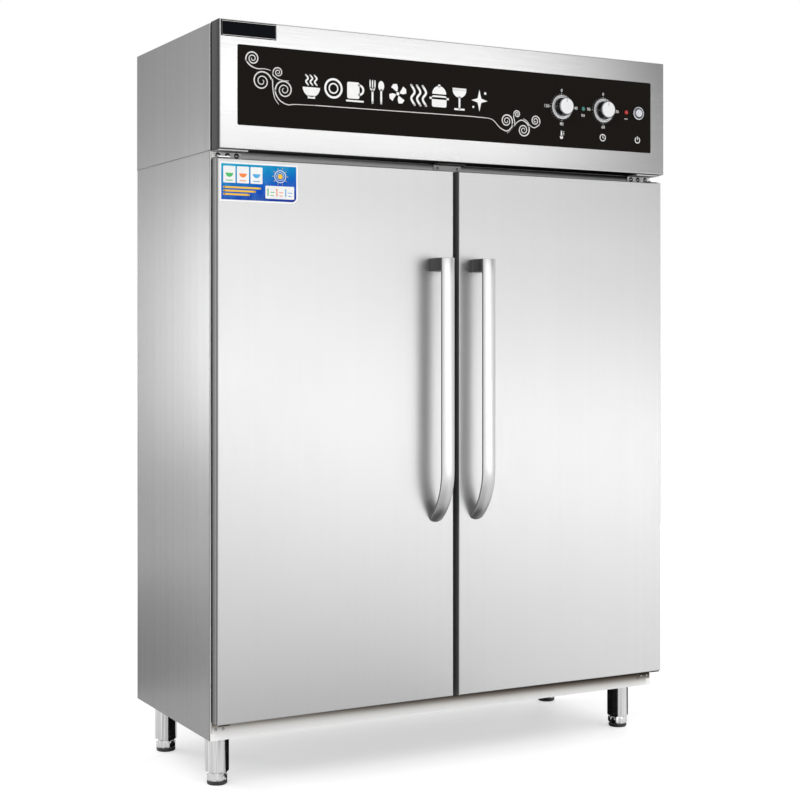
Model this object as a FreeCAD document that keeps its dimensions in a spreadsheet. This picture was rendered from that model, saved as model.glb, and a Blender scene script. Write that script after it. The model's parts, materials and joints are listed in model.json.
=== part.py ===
import FreeCAD, Part
import math
import os
import re

import Sketcher

# Commercial two-door hot-air sterilizer cabinet: an insulated stainless carcass on four legs,
# a control head above it, two hinged doors with long bar handles, and racks inside.
# Frame: +Z up, the doors face -Y, +X to the right of a person who stands before the doors.
# Origin: centre of the bounding box, on the floor.

os.makedirs("parts", exist_ok=True)
V = FreeCAD.Vector
doc = FreeCAD.newDocument("SterilizerCabinet")

# ---------------------------------------------------------------- driving sizes, in millimetres
SIZES = {
    # overall
    "overall_width": 1350,
    "body_height": 1770,
    "body_depth": 537,
    "leg_height": 130,
    "head_height": 316,
    # sheet metal and insulation
    "panel_sheet": 1.2,
    "liner_sheet": 1,
    "frame_sheet": 1.5,
    "bend_radius": 3,
    "insulation_thickness": 45,
    "panel_front_flange": 15,
    "panel_rear_flange": 20,
    "frame_return": 20,
    "post_width": 76,
    "head_seam": 0.8,
    # doors
    "door_thickness": 42,
    "door_gap": 8,
    "door_split": 17,
    "door_headroom": 22,
    "door_sill": 49,
    "door_sheet": 1,
    "liner_dish": 6,
    "liner_border": 52,
    "gasket_width": 18,
    "gasket_inset": 12,
    "gasket_hinge_inset": 22,
    "land_margin": 6,
    "running_gap": 0.3,
    # hinges
    "hinge_inset": 16,
    "hinge_setback": 24,
    "pin_radius": 5,
    "pin_clearance": 0.05,
    "pin_length": 14,
    "bush_width": 22,
    "bush_height": 14,
    "bracket_sheet": 3,
    "bracket_edge": 4,
    "bracket_width": 78,
    "bracket_foot_width": 40,
    "bracket_lift": 2,
    "tongue_width": 30,
    "tongue_reach": 44,
    "bracket_foot_drop": 30,
    "catch_width": 84,
    "catch_reach": 24,
    # handles
    "handle_standoff": 70,
    "handle_width": 38,
    "handle_thickness": 11,
    "handle_crown": 5,
    "handle_offset": 62,
    "handle_drop": 232,
    "handle_straight": 552,
    "handle_bend_radius": 170,
    "handle_sweep_angle": 58,
    "handle_block_height": 34,
    "handle_block_width": 38,
    # control head
    "fascia_depth": 63,
    "fascia_lift": 1,
    "fascia_flange": 30,
    "collar_inset": 14,
    "overlay_width": 1256,
    "overlay_height": 197,
    "overlay_sheet": 0.8,
    "overlay_corner": 4,
    "control_row_height": 168,
    "temperature_x": 325.7,
    "timer_x": 464.4,
    "lamp_green_x": 396.4,
    "lamp_red_x": 542.4,
    "power_x": 583.6,
    "knob_skirt_radius": 33,
    "knob_skirt_thickness": 3,
    "knob_cap_radius": 25,
    "knob_taper": 1.6,
    "knob_edge": 3,
    "knob_projection": 26,
    "knob_gap": 0.5,
    "spindle_radius": 3,
    "spindle_reach": 16,
    "nose_radius": 5,
    "nose_clearance": 0.4,
    "control_box_side": 46,
    "control_box_depth": 34,
    "timer_body_radius": 27,
    "lamp_radius": 5.5,
    "lamp_body_radius": 4.6,
    "lamp_dome": 2.5,
    "lamp_body_length": 28,
    "bezel_radius": 19,
    "bezel_height": 5,
    "button_radius": 12,
    "button_clearance": 0.3,
    "button_proud": 2,
    "button_length": 18,
    "barrel_wall": 2,
    "barrel_depth": 30,
    # rear of the head
    "gland_projection": 14,
    "gland_radius": 17,
    "gland_nut_height": 6,
    "gland_thread_radius": 12,
    "gland_thread_length": 14,
    "cable_bore_radius": 7,
    "gland_edge": 110,
    "louvre_length": 110,
    "louvre_slot": 7,
    "louvre_hood": 5,
    "louvre_pitch": 24,
    "louvre_rows": 5,
    "louvre_spacing": 420,
    # electrics on the deck
    "electrics_setback": 60,
    "din_rail_width": 35,
    "din_rail_height": 8,
    "din_rail_length": 260,
    "contactor_width": 45,
    "contactor_height": 85,
    # circulation fan, heater and air duct
    "fan_radius": 115,
    "fan_plate": 2,
    "fan_blade_height": 36,
    "fan_blades": 12,
    "fan_blade_thickness": 1.5,
    "fan_blade_root": 60,
    "fan_blade_sweep": 38,
    "fan_blade_fold": 88,
    "fan_hub_radius": 12,
    "fan_headroom": 10,
    "fan_shaft_radius": 4,
    "shaft_clearance": 0.05,
    "shaft_hole_radius": 12,
    "motor_radius": 48,
    "motor_height": 92,
    "motor_flange": 130,
    "motor_flange_sheet": 3,
    "motor_bore_depth": 40,
    "grille_half_width": 190,
    "grille_depth": 66,
    "grille_slot": 12,
    "grille_slots": 9,
    "duct_depth": 40,
    "duct_half_width": 250,
    "duct_foot": 50,
    "duct_slot_length": 150,
    "duct_slot_height": 12,
    "duct_slot_rows": 7,
    "heater_radius": 5,
    "heater_loop_radius": 20,
    "heater_half_length": 150,
    "heater_margin": 34,
    # racks
    "upright_width": 25,
    "upright_depth": 10,
    "upright_inset": 70,
    "runner_height": 18,
    "runner_ledge": 16,
    "runner_sheet": 1.5,
    "rack_levels": 4,
    "rack_first_level": 200,
    "rack_pitch": 300,
    "rack_front_gap": 40,
    "rack_rear_gap": 10,
    "rack_side_gap": 1.5,
    "rack_bar": 6,
    "rack_bar_height": 12,
    "rack_wire_radius": 2.5,
    "rack_wires": 9,
    # legs and feet
    "leg_radius": 30,
    "leg_side_inset": 53,
    "leg_end_inset": 84,
    "leg_plate_side": 84,
    "leg_plate_sheet": 2,
    "stud_radius": 6,
    "stud_length": 40,
    "foot_height": 33,
    "foot_radius": 27.5,
    "foot_pad_height": 11,
    "foot_pad_edge": 1,
}

# ---------------------------------------------------------------- places worked out from the sizes
PLACES = {
    "half_width": "overall_width / 2",
    "row_depth": "handle_standoff + door_thickness + door_gap + body_depth + gland_projection",
    "handle_front": "-row_depth / 2",
    "door_front": "handle_front + handle_standoff",
    "door_back": "door_front + door_thickness",
    "carcass_front": "door_back + door_gap",
    "carcass_rear": "carcass_front + body_depth",
    "fascia_front": "carcass_front - fascia_depth",
    "body_base": "leg_height",
    "body_top": "leg_height + body_height",
    "head_base": "body_top - head_height",
    "fascia_base": "head_base + fascia_lift",
    "door_top": "fascia_base - door_headroom",
    "door_bottom": "body_base + door_sill",
    # carcass walls, from the outside in
    "wall_inside": "half_width - panel_sheet",
    "liner_outside": "wall_inside - insulation_thickness",
    "liner_inside": "liner_outside - liner_sheet",
    "rear_panel_outside": "carcass_rear - panel_sheet",
    "rear_panel_inside": "rear_panel_outside - panel_sheet",
    "rear_liner_outside": "rear_panel_inside - insulation_thickness",
    "rear_liner_inside": "rear_liner_outside - liner_sheet",
    "pan_base": "body_base + frame_sheet",
    "pan_top": "pan_base + panel_sheet",
    "floor_base": "pan_top + insulation_thickness",
    "floor_top": "floor_base + liner_sheet",
    "deck_base": "head_base - panel_sheet",
    "ceiling_top": "deck_base - insulation_thickness",
    "ceiling_base": "ceiling_top - liner_sheet",
    "frame_back": "carcass_front + frame_sheet",
    "frame_half_width": "half_width - panel_front_flange",
    "seal_land": "gasket_inset + gasket_width + land_margin",
    "opening_top": "door_top - seal_land",
    "opening_bottom": "door_bottom + seal_land",
    # doors, measured on the right-hand one
    "door_inner_edge": "door_split / 2",
    "hinge_x": "half_width - hinge_inset",
    "hinge_y": "door_back - hinge_setback",
    "gasket_front": "door_back",
    "gasket_back": "carcass_front - running_gap",
    "handle_top": "door_top - handle_drop",
    "handle_bend": "handle_top - handle_straight",
    "handle_back": "handle_front + handle_thickness",
    "handle_spine_radius": "handle_bend_radius - handle_thickness",
    "crown_radius": "((handle_width / 2)^2 + handle_crown^2) / (2 * handle_crown)",
    # hinge brackets
    "top_tongue_base": "door_top + bracket_lift",
    "top_flange_top": "fascia_base - running_gap",
    "leaf_front": "carcass_front - bracket_sheet",
    "foot_tongue_top": "door_bottom - running_gap",
    "bush_radius_gap": "pin_radius + pin_clearance",
    # control head
    "fascia_back": "carcass_front - door_gap",
    "fascia_skin_back": "fascia_front + panel_sheet",
    "overlay_front": "fascia_front - overlay_sheet",
    "overlay_base": "(fascia_base + body_top - overlay_height) / 2",
    "control_z": "fascia_base + control_row_height",
    "knob_back": "overlay_front - knob_gap",
    "button_bore": "button_radius + button_clearance",
    "barrel_radius": "button_bore + barrel_wall",
    "gland_x": "half_width - gland_edge",
    "gland_z": "head_base + gland_edge / 2",
    # fan, grille and duct
    "duct_front": "rear_liner_inside - duct_depth - liner_sheet",
    "fan_y": "(carcass_front + rear_liner_inside) / 2",
    "grille_front": "fan_y - grille_half_width",
    "grille_base": "ceiling_base - grille_depth",
    "fan_top": "ceiling_base - fan_headroom",
    "motor_base": "head_base + motor_flange_sheet",
    "blade_tip": "fan_radius - fan_blade_thickness",
    "blade_tip_x": "blade_tip * cos(fan_blade_sweep)",
    "blade_tip_y": "blade_tip * sin(fan_blade_sweep)",
    "blade_fold_x": "fan_blade_fold * cos(fan_blade_sweep / 3)",
    "blade_fold_y": "fan_blade_fold * sin(fan_blade_sweep / 3)",
    "heater_y": "duct_front - heater_margin - heater_loop_radius",
    "heater_start": "-(grille_half_width - liner_sheet)",
    # racks
    "rack_front": "carcass_front + rack_front_gap",
    "rack_rear": "duct_front - rack_rear_gap",
    "upright_front_y": "carcass_front + upright_inset",
    "upright_rear_y": "rack_rear - upright_width",
    "column_outside": "liner_inside - upright_depth",
    "column_inside": "upright_width / 2",
    # legs
    "leg_x": "half_width - leg_side_inset",
    "leg_front_y": "carcass_front + leg_end_inset",
    "leg_rear_y": "carcass_rear - leg_end_inset",
    "leg_base": "foot_height + running_gap",
}

# flat sides of the small round pieces: studs and nuts, grips and housings, smooth rims
STUD_SIDES = 10
GRIP_SIDES = 20
SKIRT_SIDES = 30

NAME = re.compile(r"[a-z][a-z0-9_]*")


def linked(formula):
    """The formula with each size read from the sheet and each place from the set of places."""
    def owner(match):
        word = match.group(0)
        if word in SIZES:
            return "Sizes." + word
        return "Places." + word if word in PLACES else word
    return NAME.sub(owner, str(formula))


sheet = doc.addObject("Spreadsheet::Sheet", "Sizes")
for row, (name, number) in enumerate(SIZES.items(), 1):
    sheet.set(f"A{row}", name)
    sheet.set(f"B{row}", str(number))
    sheet.setAlias(f"B{row}", name)
doc.recompute()

places = doc.addObject("App::VarSet", "Places")
for name in PLACES:
    places.addProperty("App::PropertyFloat", name)
for name, formula in PLACES.items():
    places.setExpression(name, linked(formula))
doc.recompute()


def value(name):
    """The number that a size or a place has now."""
    return float(sheet.get(name)) if name in SIZES else getattr(places, name)


def bind(thing, path, formula):
    thing.setExpression(path, linked(formula))


def mirrored(side, inner, outer):
    """The two faces of a span on the right (+1) or left (-1), lower one first."""
    return (inner, outer) if side > 0 else (f"-({outer})", f"-({inner})")


# ---------------------------------------------------------------- solids from Part primitives
TURN = {
    "x": FreeCAD.Rotation(V(0, 1, 0), 90),
    "y": FreeCAD.Rotation(V(1, 0, 0), -90),
    "z": FreeCAD.Rotation(),
}


def put(thing, x, y, z):
    for axis, formula in zip("xyz", (x, y, z)):
        bind(thing, "Placement.Base." + axis, formula)
    return thing


def block(name, x, y, z):
    """A box, each pair giving its two faces along that axis."""
    solid = doc.addObject("Part::Box", name)
    for side, (low, high) in zip(("Length", "Width", "Height"), (x, y, z)):
        bind(solid, side, f"({high}) - ({low})")
    return put(solid, x[0], y[0], z[0])


def rod(name, along, radius, start, length):
    """A round bar from its start point towards the positive end of an axis."""
    solid = doc.addObject("Part::Cylinder", name)
    solid.Placement.Rotation = TURN[along]
    bind(solid, "Radius", radius)
    bind(solid, "Height", length)
    return put(solid, *start)


def prism(name, along, sides, radius, start, length):
    """A bar with flat sides, measured over its corners."""
    solid = doc.addObject("Part::Prism", name)
    solid.Polygon = sides
    solid.Placement.Rotation = TURN[along]
    bind(solid, "Circumradius", radius)
    bind(solid, "Height", length)
    return put(solid, *start)


def fuse(name, pieces):
    solid = doc.addObject("Part::MultiFuse", name)
    solid.Shapes = pieces
    return solid


def group(name, pieces):
    """Separate solids that make one sub-part."""
    bundle = doc.addObject("Part::Compound", name)
    bundle.Links = pieces
    return bundle


def cut(name, base, tools):
    solid = doc.addObject("Part::Cut", name)
    solid.Base = base
    solid.Tool = tools[0] if len(tools) == 1 else group(name + "_tools", tools)
    return solid


# ---------------------------------------------------------------- PartDesign bodies
def new_body(name):
    return doc.addObject("PartDesign::Body", name)


def sketch_on(body, name, plane, level="0"):
    """A sketch on one of the body's origin planes, moved along that plane's normal."""
    role = {feature.Role: feature for feature in body.Origin.OriginFeatures}
    drawing = body.newObject("Sketcher::SketchObject", name)
    drawing.AttachmentSupport = [(role[plane + "_Plane"], "")]
    drawing.MapMode = "FlatFace"
    bind(drawing, "AttachmentOffset.Base.z", level)
    return drawing


def pin_point(drawing, geometry, end, u, v):
    """Fix one point of the sketch at two formulas, from where it was drawn."""
    drawn = drawing.getPoint(geometry, end)
    for kind, start, formula in (("DistanceX", drawn.x, u), ("DistanceY", drawn.y, v)):
        index = drawing.addConstraint(Sketcher.Constraint(kind, -1, 1, geometry, end, start))
        bind(drawing, f"Constraints[{index}]", formula)


def outline(drawing, corners):
    """A closed outline of straight lines through the corners."""
    first = drawing.GeometryCount
    count = len(corners)
    rough = [V(math.cos(2 * math.pi * k / count), math.sin(2 * math.pi * k / count), 0)
             for k in range(count)]
    for k in range(count):
        drawing.addGeometry(Part.LineSegment(rough[k], rough[(k + 1) % count]), False)
    for k in range(count):
        following = first + (k + 1) % count
        drawing.addConstraint(Sketcher.Constraint("Coincident", first + k, 2, following, 1))
    for k, (u, v) in enumerate(corners):
        pin_point(drawing, first + k, 1, u, v)


def rectangle(drawing, u, v):
    outline(drawing, [(u[0], v[0]), (u[1], v[0]), (u[1], v[1]), (u[0], v[1])])


def circle(drawing, u, v, radius):
    index = drawing.addGeometry(Part.Circle(V(1, 1, 0), V(0, 0, 1), 1), False)
    pin_point(drawing, index, 3, u, v)
    constraint = drawing.addConstraint(Sketcher.Constraint("Radius", index, 1.0))
    bind(drawing, f"Constraints[{constraint}]", radius)


def facets(drawing, u, v, sides, radius):
    """A regular outline with flat sides, its corners on a circle."""
    turns = [k * 360 / sides for k in range(sides)]
    outline(drawing, [(f"{u} + ({radius}) * cos({turn})", f"{v} + ({radius}) * sin({turn})")
                      for turn in turns])


def pad(body, name, drawing, length, reverse=False):
    feature = body.newObject("PartDesign::Pad", name)
    feature.Profile = drawing
    feature.Reversed = reverse
    bind(feature, "Length", length)
    return feature


def pocket(body, name, drawing, length, reverse=False):
    """A pocket, with a check that it takes material away."""
    doc.recompute()
    before = body.Shape.Volume
    feature = body.newObject("PartDesign::Pocket", name)
    feature.Profile = drawing
    feature.Reversed = reverse
    bind(feature, "Length", length)
    doc.recompute()
    if feature.Shape.Volume > before - 1:
        raise RuntimeError(f"{body.Name}: {name} cuts nothing")
    return feature


def round_edges(body, name, base, radius, chosen):
    """A fillet on the edges of a feature that pass the test."""
    doc.recompute()
    edges = [f"Edge{n}" for n, edge in enumerate(base.Shape.Edges, 1) if chosen(edge)]
    feature = body.newObject("PartDesign::Fillet", name)
    feature.Base = (base, edges)
    bind(feature, "Radius", radius)
    return feature


def folded(name, plane, corners, start, length, bends=()):
    """A folded sheet: its section, padded along the plane's axis, with outside bends rounded.

    start is the formula of the section's plane. The XZ plane's normal is -Y, so there the pad
    is reversed and runs to +Y. bends lists the (u, v) places of the rounded outside corners.
    """
    body = new_body(name)
    across = plane == "XZ"
    section = sketch_on(body, name + "_section", plane, f"-({start})" if across else start)
    outline(section, corners)
    sheet_pad = pad(body, name + "_sheet", section, length, reverse=across)
    if bends:
        doc.recompute()
        axes = {"XY": (0, 1, 2), "XZ": (0, 2, 1), "YZ": (1, 2, 0)}[plane]
        targets = [(number_of(u), number_of(v)) for u, v in bends]

        def is_bend(edge):
            ends = [vertex.Point for vertex in edge.Vertexes]
            if len(ends) < 2 or abs(ends[0][axes[2]] - ends[1][axes[2]]) < 1:
                return False
            at = (ends[0][axes[0]], ends[0][axes[1]])
            return any(math.dist(at, target) < 0.01 for target in targets)
        round_edges(body, name + "_bends", sheet_pad, "bend_radius", is_bend)
    return body


def number_of(formula):
    """The number of a place, a size or one of them with a minus sign."""
    text = formula.strip()
    return -value(text[1:]) if text.startswith("-") else value(text)


# ---------------------------------------------------------------- carcass: outer panels
def side_panel(name, side):
    """One folded side, with a flange to the front frame and one behind the rear panel."""
    def at(formula):
        return formula if side > 0 else f"-({formula})"
    corners = [
        (at("half_width"), "carcass_front"),
        (at("half_width"), "carcass_rear"),
        (at("half_width - panel_rear_flange"), "carcass_rear"),
        (at("half_width - panel_rear_flange"), "rear_panel_outside"),
        (at("wall_inside"), "rear_panel_outside"),
        (at("wall_inside"), "carcass_front + panel_sheet"),
        (at("frame_half_width"), "carcass_front + panel_sheet"),
        (at("frame_half_width"), "carcass_front"),
    ]
    edge = "half_width" if side > 0 else "-half_width"
    bends = [(edge, "carcass_front"), (edge, "carcass_rear")]
    return folded(name, "XY", corners, "body_base", "head_base - body_base", bends)


side_panel("side_panel_left", -1)
side_panel("side_panel_right", 1)
full_width = ("-wall_inside", "wall_inside")
rear_sheet = ("rear_panel_inside", "rear_panel_outside")
block("back_panel", full_width, rear_sheet, ("body_base", "head_base"))


def tray_section(base, top, rise):
    """A flat sheet between the side panels with both ends folded up."""
    return [
        ("-wall_inside", base), ("wall_inside", base), ("wall_inside", rise),
        ("wall_inside - panel_sheet", rise), ("wall_inside - panel_sheet", top),
        ("-(wall_inside - panel_sheet)", top), ("-(wall_inside - panel_sheet)", rise),
        ("-wall_inside", rise),
    ]


folded("bottom_pan", "XZ", tray_section("pan_base", "pan_top", "pan_base + frame_return"),
       "frame_back", "rear_panel_inside - frame_back")

# ---------------------------------------------------------------- front frame round the chamber
frame_sheet_y = ("carcass_front", "frame_back")


def frame_beam(name, corners, lip_z):
    """A folded beam across the front, with a second return between the liner sides."""
    beam = folded(name, "YZ", corners, "-frame_half_width", "2 * frame_half_width")
    lip = sketch_on(beam, name + "_lip_section", "YZ", "-liner_inside")
    rectangle(lip, ("carcass_front", "carcass_front + frame_return"), lip_z)
    pad(beam, name + "_lip", lip, "2 * liner_inside")
    return beam


frame_beam("front_sill", [
    ("carcass_front", "body_base"), ("carcass_front + frame_return", "body_base"),
    ("carcass_front + frame_return", "pan_base"), ("frame_back", "pan_base"),
    ("frame_back", "opening_bottom"), ("carcass_front", "opening_bottom"),
], ("opening_bottom - frame_sheet", "opening_bottom"))
frame_beam("head_rail", [
    ("carcass_front", "opening_top"), ("frame_back", "opening_top"),
    ("frame_back", "deck_base - frame_sheet"),
    ("carcass_front + frame_return", "deck_base - frame_sheet"),
    ("carcass_front + frame_return", "deck_base"), ("carcass_front", "deck_base"),
], ("opening_top", "opening_top + frame_sheet"))


def stile(side):
    """A side strip of the frame, with a return that the liner laps."""
    def at(formula):
        return formula if side > 0 else f"-({formula})"
    corners = [
        (at("frame_half_width"), "carcass_front"), (at("liner_inside"), "carcass_front"),
        (at("liner_inside"), "frame_back"), (at("liner_outside"), "frame_back"),
        (at("liner_outside"), "carcass_front + frame_return"),
        (at("liner_outside + frame_sheet"), "carcass_front + frame_return"),
        (at("liner_outside + frame_sheet"), "frame_back"),
        (at("frame_half_width"), "frame_back"),
    ]
    label = "stile_right" if side > 0 else "stile_left"
    return folded(label, "XY", corners, "opening_bottom", "opening_top - opening_bottom")


group("frame_stiles", [stile(-1), stile(1)])
folded("centre_post", "XY", [
    ("-post_width / 2", "carcass_front"), ("post_width / 2", "carcass_front"),
    ("post_width / 2", "carcass_front + frame_return"),
    ("post_width / 2 - frame_sheet", "carcass_front + frame_return"),
    ("post_width / 2 - frame_sheet", "frame_back"),
    ("-(post_width / 2 - frame_sheet)", "frame_back"),
    ("-(post_width / 2 - frame_sheet)", "carcass_front + frame_return"),
    ("-post_width / 2", "carcass_front + frame_return"),
], "opening_bottom", "opening_top - opening_bottom")

# ---------------------------------------------------------------- chamber liner and insulation
liner_y = ("frame_back", "rear_liner_inside")
liner_z = ("floor_base", "ceiling_top")
liner_x = ("-liner_inside", "liner_inside")
group("liner_sides", [
    block(f"liner_side_{label}", mirrored(side, "liner_inside", "liner_outside"),
          ("frame_back", "rear_liner_outside"), liner_z)
    for label, side in (("left", -1), ("right", 1))
])
block("liner_back", liner_x, ("rear_liner_inside", "rear_liner_outside"), liner_z)
block("liner_floor", liner_x, liner_y, ("floor_base", "floor_top"))


def shaft_hole(name, base, length):
    """The clear hole for the fan shaft through one layer above the chamber."""
    return rod(name, "z", "shaft_hole_radius", ("0", "fan_y", base), length)


cut("liner_ceiling", block("ceiling_sheet", liner_x, liner_y, ("ceiling_base", "ceiling_top")),
    [shaft_hole("ceiling_hole", "ceiling_base", "liner_sheet")])

slab_x = ("-liner_outside", "liner_outside")
slab_front = "carcass_front + frame_return"
side_slab_z = ("pan_base + frame_return", "deck_base")
ceiling_slab = cut("insulation_ceiling", block(
    "insulation_ceiling_slab", slab_x, (slab_front, "rear_liner_outside"),
    ("ceiling_top", "deck_base")),
    [shaft_hole("insulation_hole", "ceiling_top", "insulation_thickness")])
group("insulation", [
    block("insulation_left", mirrored(-1, "liner_outside", "wall_inside"),
          (slab_front, "rear_panel_inside"), side_slab_z),
    block("insulation_right", mirrored(1, "liner_outside", "wall_inside"),
          (slab_front, "rear_panel_inside"), side_slab_z),
    block("insulation_back", slab_x, ("rear_liner_outside", "rear_panel_inside"),
          ("pan_top", "deck_base")),
    block("insulation_floor", slab_x, ("frame_back", "rear_liner_outside"),
          ("pan_top", "floor_base")),
    ceiling_slab,
])

# ---------------------------------------------------------------- head: casing, deck, rear cover
deck = folded("deck_tray", "XZ", tray_section("deck_base", "head_base", "head_base + frame_return"),
              "frame_back", "rear_panel_inside - frame_back")
cut("head_deck", deck, [shaft_hole("deck_hole", "deck_base", "panel_sheet")])

folded("head_casing", "XZ", [
    ("-half_width", "head_base + head_seam"), ("-half_width", "body_top"),
    ("half_width", "body_top"), ("half_width", "head_base + head_seam"),
    ("wall_inside", "head_base + head_seam"), ("wall_inside", "body_top - panel_sheet"),
    ("-wall_inside", "body_top - panel_sheet"), ("-wall_inside", "head_base + head_seam"),
], "carcass_front", "body_depth", [("half_width", "body_top"), ("-half_width", "body_top")])


def ring(body, name, level, outer, inner, length, reverse=False):
    """A rectangular ring on an XZ plane: outer and inner are pairs of x and z spans."""
    drawing = sketch_on(body, name + "_section", "XZ", f"-({level})")
    rectangle(drawing, *outer)
    rectangle(drawing, *inner)
    return pad(body, name, drawing, length, reverse)


front_frame = new_body("head_front_frame")
ring(front_frame, "mounting_plate", "carcass_front",
     (full_width, ("head_base", "body_top - panel_sheet")),
     (("-(wall_inside - fascia_flange)", "wall_inside - fascia_flange"),
      ("head_base + fascia_flange", "body_top - panel_sheet - fascia_flange")),
     "frame_sheet", reverse=True)
ring(front_frame, "collar", "carcass_front",
     (("-(half_width - collar_inset)", "half_width - collar_inset"),
      ("head_base + collar_inset", "body_top - collar_inset")),
     (("-(half_width - collar_inset - frame_sheet)", "half_width - collar_inset - frame_sheet"),
      ("head_base + collar_inset + frame_sheet", "body_top - collar_inset - frame_sheet")),
     "door_gap")


def wedge(name, x, y, z, edge):
    """A hood whose back is z high and whose outer edge is only edge high, at its bottom."""
    solid = doc.addObject("Part::Wedge", name)
    sizes = {
        "Xmin": "0", "Xmax": f"({x[1]}) - ({x[0]})", "X2min": "0",
        "X2max": f"({x[1]}) - ({x[0]})", "Ymin": "0", "Ymax": f"({y[1]}) - ({y[0]})",
        "Zmin": "0", "Zmax": f"({z[1]}) - ({z[0]})", "Z2min": "0", "Z2max": edge,
    }
    for side, formula in sizes.items():
        bind(solid, side, formula)
    return put(solid, x[0], y[0], z[0])


def louvred_cover():
    """The rear cover: two columns of louvres and a hole for the cable gland."""
    plate = block("cover_plate", full_width, rear_sheet, ("head_base", "body_top - panel_sheet"))
    hoods, slots = [], []
    for row in range(int(value("louvre_rows"))):
        base = f"(head_base + body_top) / 2 + ({row} - (louvre_rows - 1) / 2) * louvre_pitch"
        for column in (-1, 1):
            label = f"{row}_{'left' if column < 0 else 'right'}"
            middle = f"{column} * louvre_spacing / 2"
            span = (f"{middle} - louvre_length / 2", f"{middle} + louvre_length / 2")
            hoods.append(wedge(
                f"hood_{label}", span, ("rear_panel_outside", "rear_panel_outside + louvre_hood"),
                (base, f"{base} + 2 * louvre_slot"), "panel_sheet"))
            inside = (f"{span[0]} + panel_sheet", f"{span[1]} - panel_sheet")
            slots.append(wedge(
                f"slot_{label}", inside,
                ("rear_panel_inside", "rear_panel_outside + louvre_hood - panel_sheet"),
                (f"{base} - panel_sheet", f"{base} + 2 * louvre_slot - 2 * panel_sheet"),
                "panel_sheet"))
    gland_hole = rod("gland_hole", "y", "gland_thread_radius + nose_clearance",
                     ("gland_x", "rear_panel_inside", "gland_z"), "panel_sheet")
    return cut("head_rear_cover", fuse("cover_with_hoods", [plate] + hoods), slots + [gland_hole])


louvred_cover()
gland_end = prism("gland_dome", "y", GRIP_SIDES, "gland_thread_radius",
                  ("gland_x", "rear_panel_outside", "gland_z"), "panel_sheet + gland_projection")
gland_nut = prism("gland_nut", "y", 6, "gland_radius",
                  ("gland_x", "rear_panel_outside", "gland_z"), "gland_nut_height")
gland_thread = prism("gland_thread", "y", GRIP_SIDES, "gland_thread_radius",
                     ("gland_x", "rear_panel_outside - gland_thread_length", "gland_z"),
                     "gland_thread_length")
gland_bore = rod("gland_bore", "y", "cable_bore_radius",
                 ("gland_x", "rear_panel_outside - gland_thread_length", "gland_z"),
                 "gland_thread_length + panel_sheet + gland_projection")
cut("cable_gland", fuse("gland_solid", [gland_end, gland_nut, gland_thread]), [gland_bore])

# ---------------------------------------------------------------- fascia and its overlay
CONTROLS = [
    ("temperature_x", "nose_radius"),
    ("timer_x", "nose_radius"),
    ("lamp_green_x", "lamp_body_radius"),
    ("lamp_red_x", "lamp_body_radius"),
    ("power_x", "barrel_radius"),
]
HOLE_SIDES = 8


def control_holes(drawing):
    """Punched holes with flat sides that clear the part behind each control."""
    for x, radius in CONTROLS:
        corner = f"({radius} + nose_clearance) / cos({180 / HOLE_SIDES})"
        facets(drawing, x, "control_z", HOLE_SIDES, corner)


def in_plane(edge, axis, level):
    return all(abs(vertex.Point[axis] - level) < 0.01 for vertex in edge.Vertexes)


def hollow_fascia():
    """A folded pan with rounded front edges, a rear flange and the holes of the controls."""
    body = new_body("head_fascia")
    face = sketch_on(body, "fascia_face", "XZ", "-fascia_back")
    rectangle(face, ("-half_width", "half_width"), ("fascia_base", "body_top"))
    box = pad(body, "fascia_box", face, "fascia_back - fascia_front")
    front = value("fascia_front")
    round_edges(body, "fascia_bends", box, "bend_radius", lambda edge: in_plane(edge, 1, front))
    inside = sketch_on(body, "fascia_inside", "XZ", "-fascia_back")
    rectangle(inside, full_width, ("fascia_base + panel_sheet", "body_top - panel_sheet"))
    pocket(body, "fascia_cavity", inside, "fascia_back - fascia_skin_back", reverse=True)
    ring(body, "fascia_rear_flange", "fascia_back",
         (full_width, ("fascia_base + panel_sheet", "body_top - panel_sheet")),
         (("-(half_width - fascia_flange)", "half_width - fascia_flange"),
          ("fascia_base + fascia_flange", "body_top - fascia_flange")), "panel_sheet")
    holes = sketch_on(body, "fascia_holes", "XZ", "-fascia_front")
    control_holes(holes)
    pocket(body, "fascia_drilling", holes, "panel_sheet")
    return body


hollow_fascia()


def printed_overlay():
    body = new_body("control_overlay")
    face = sketch_on(body, "overlay_face", "XZ", "-fascia_front")
    rectangle(face, ("-overlay_width / 2", "overlay_width / 2"),
              ("overlay_base", "overlay_base + overlay_height"))
    control_holes(face)
    sheet_pad = pad(body, "overlay_pad", face, "overlay_sheet")
    corner = value("overlay_width") / 2

    def is_corner(edge):
        return all(abs(abs(vertex.Point.x) - corner) < 0.01 for vertex in edge.Vertexes) \
            and abs(edge.Length - value("overlay_sheet")) < 0.01
    round_edges(body, "overlay_corners", sheet_pad, "overlay_corner", is_corner)
    return body


printed_overlay()


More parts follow.
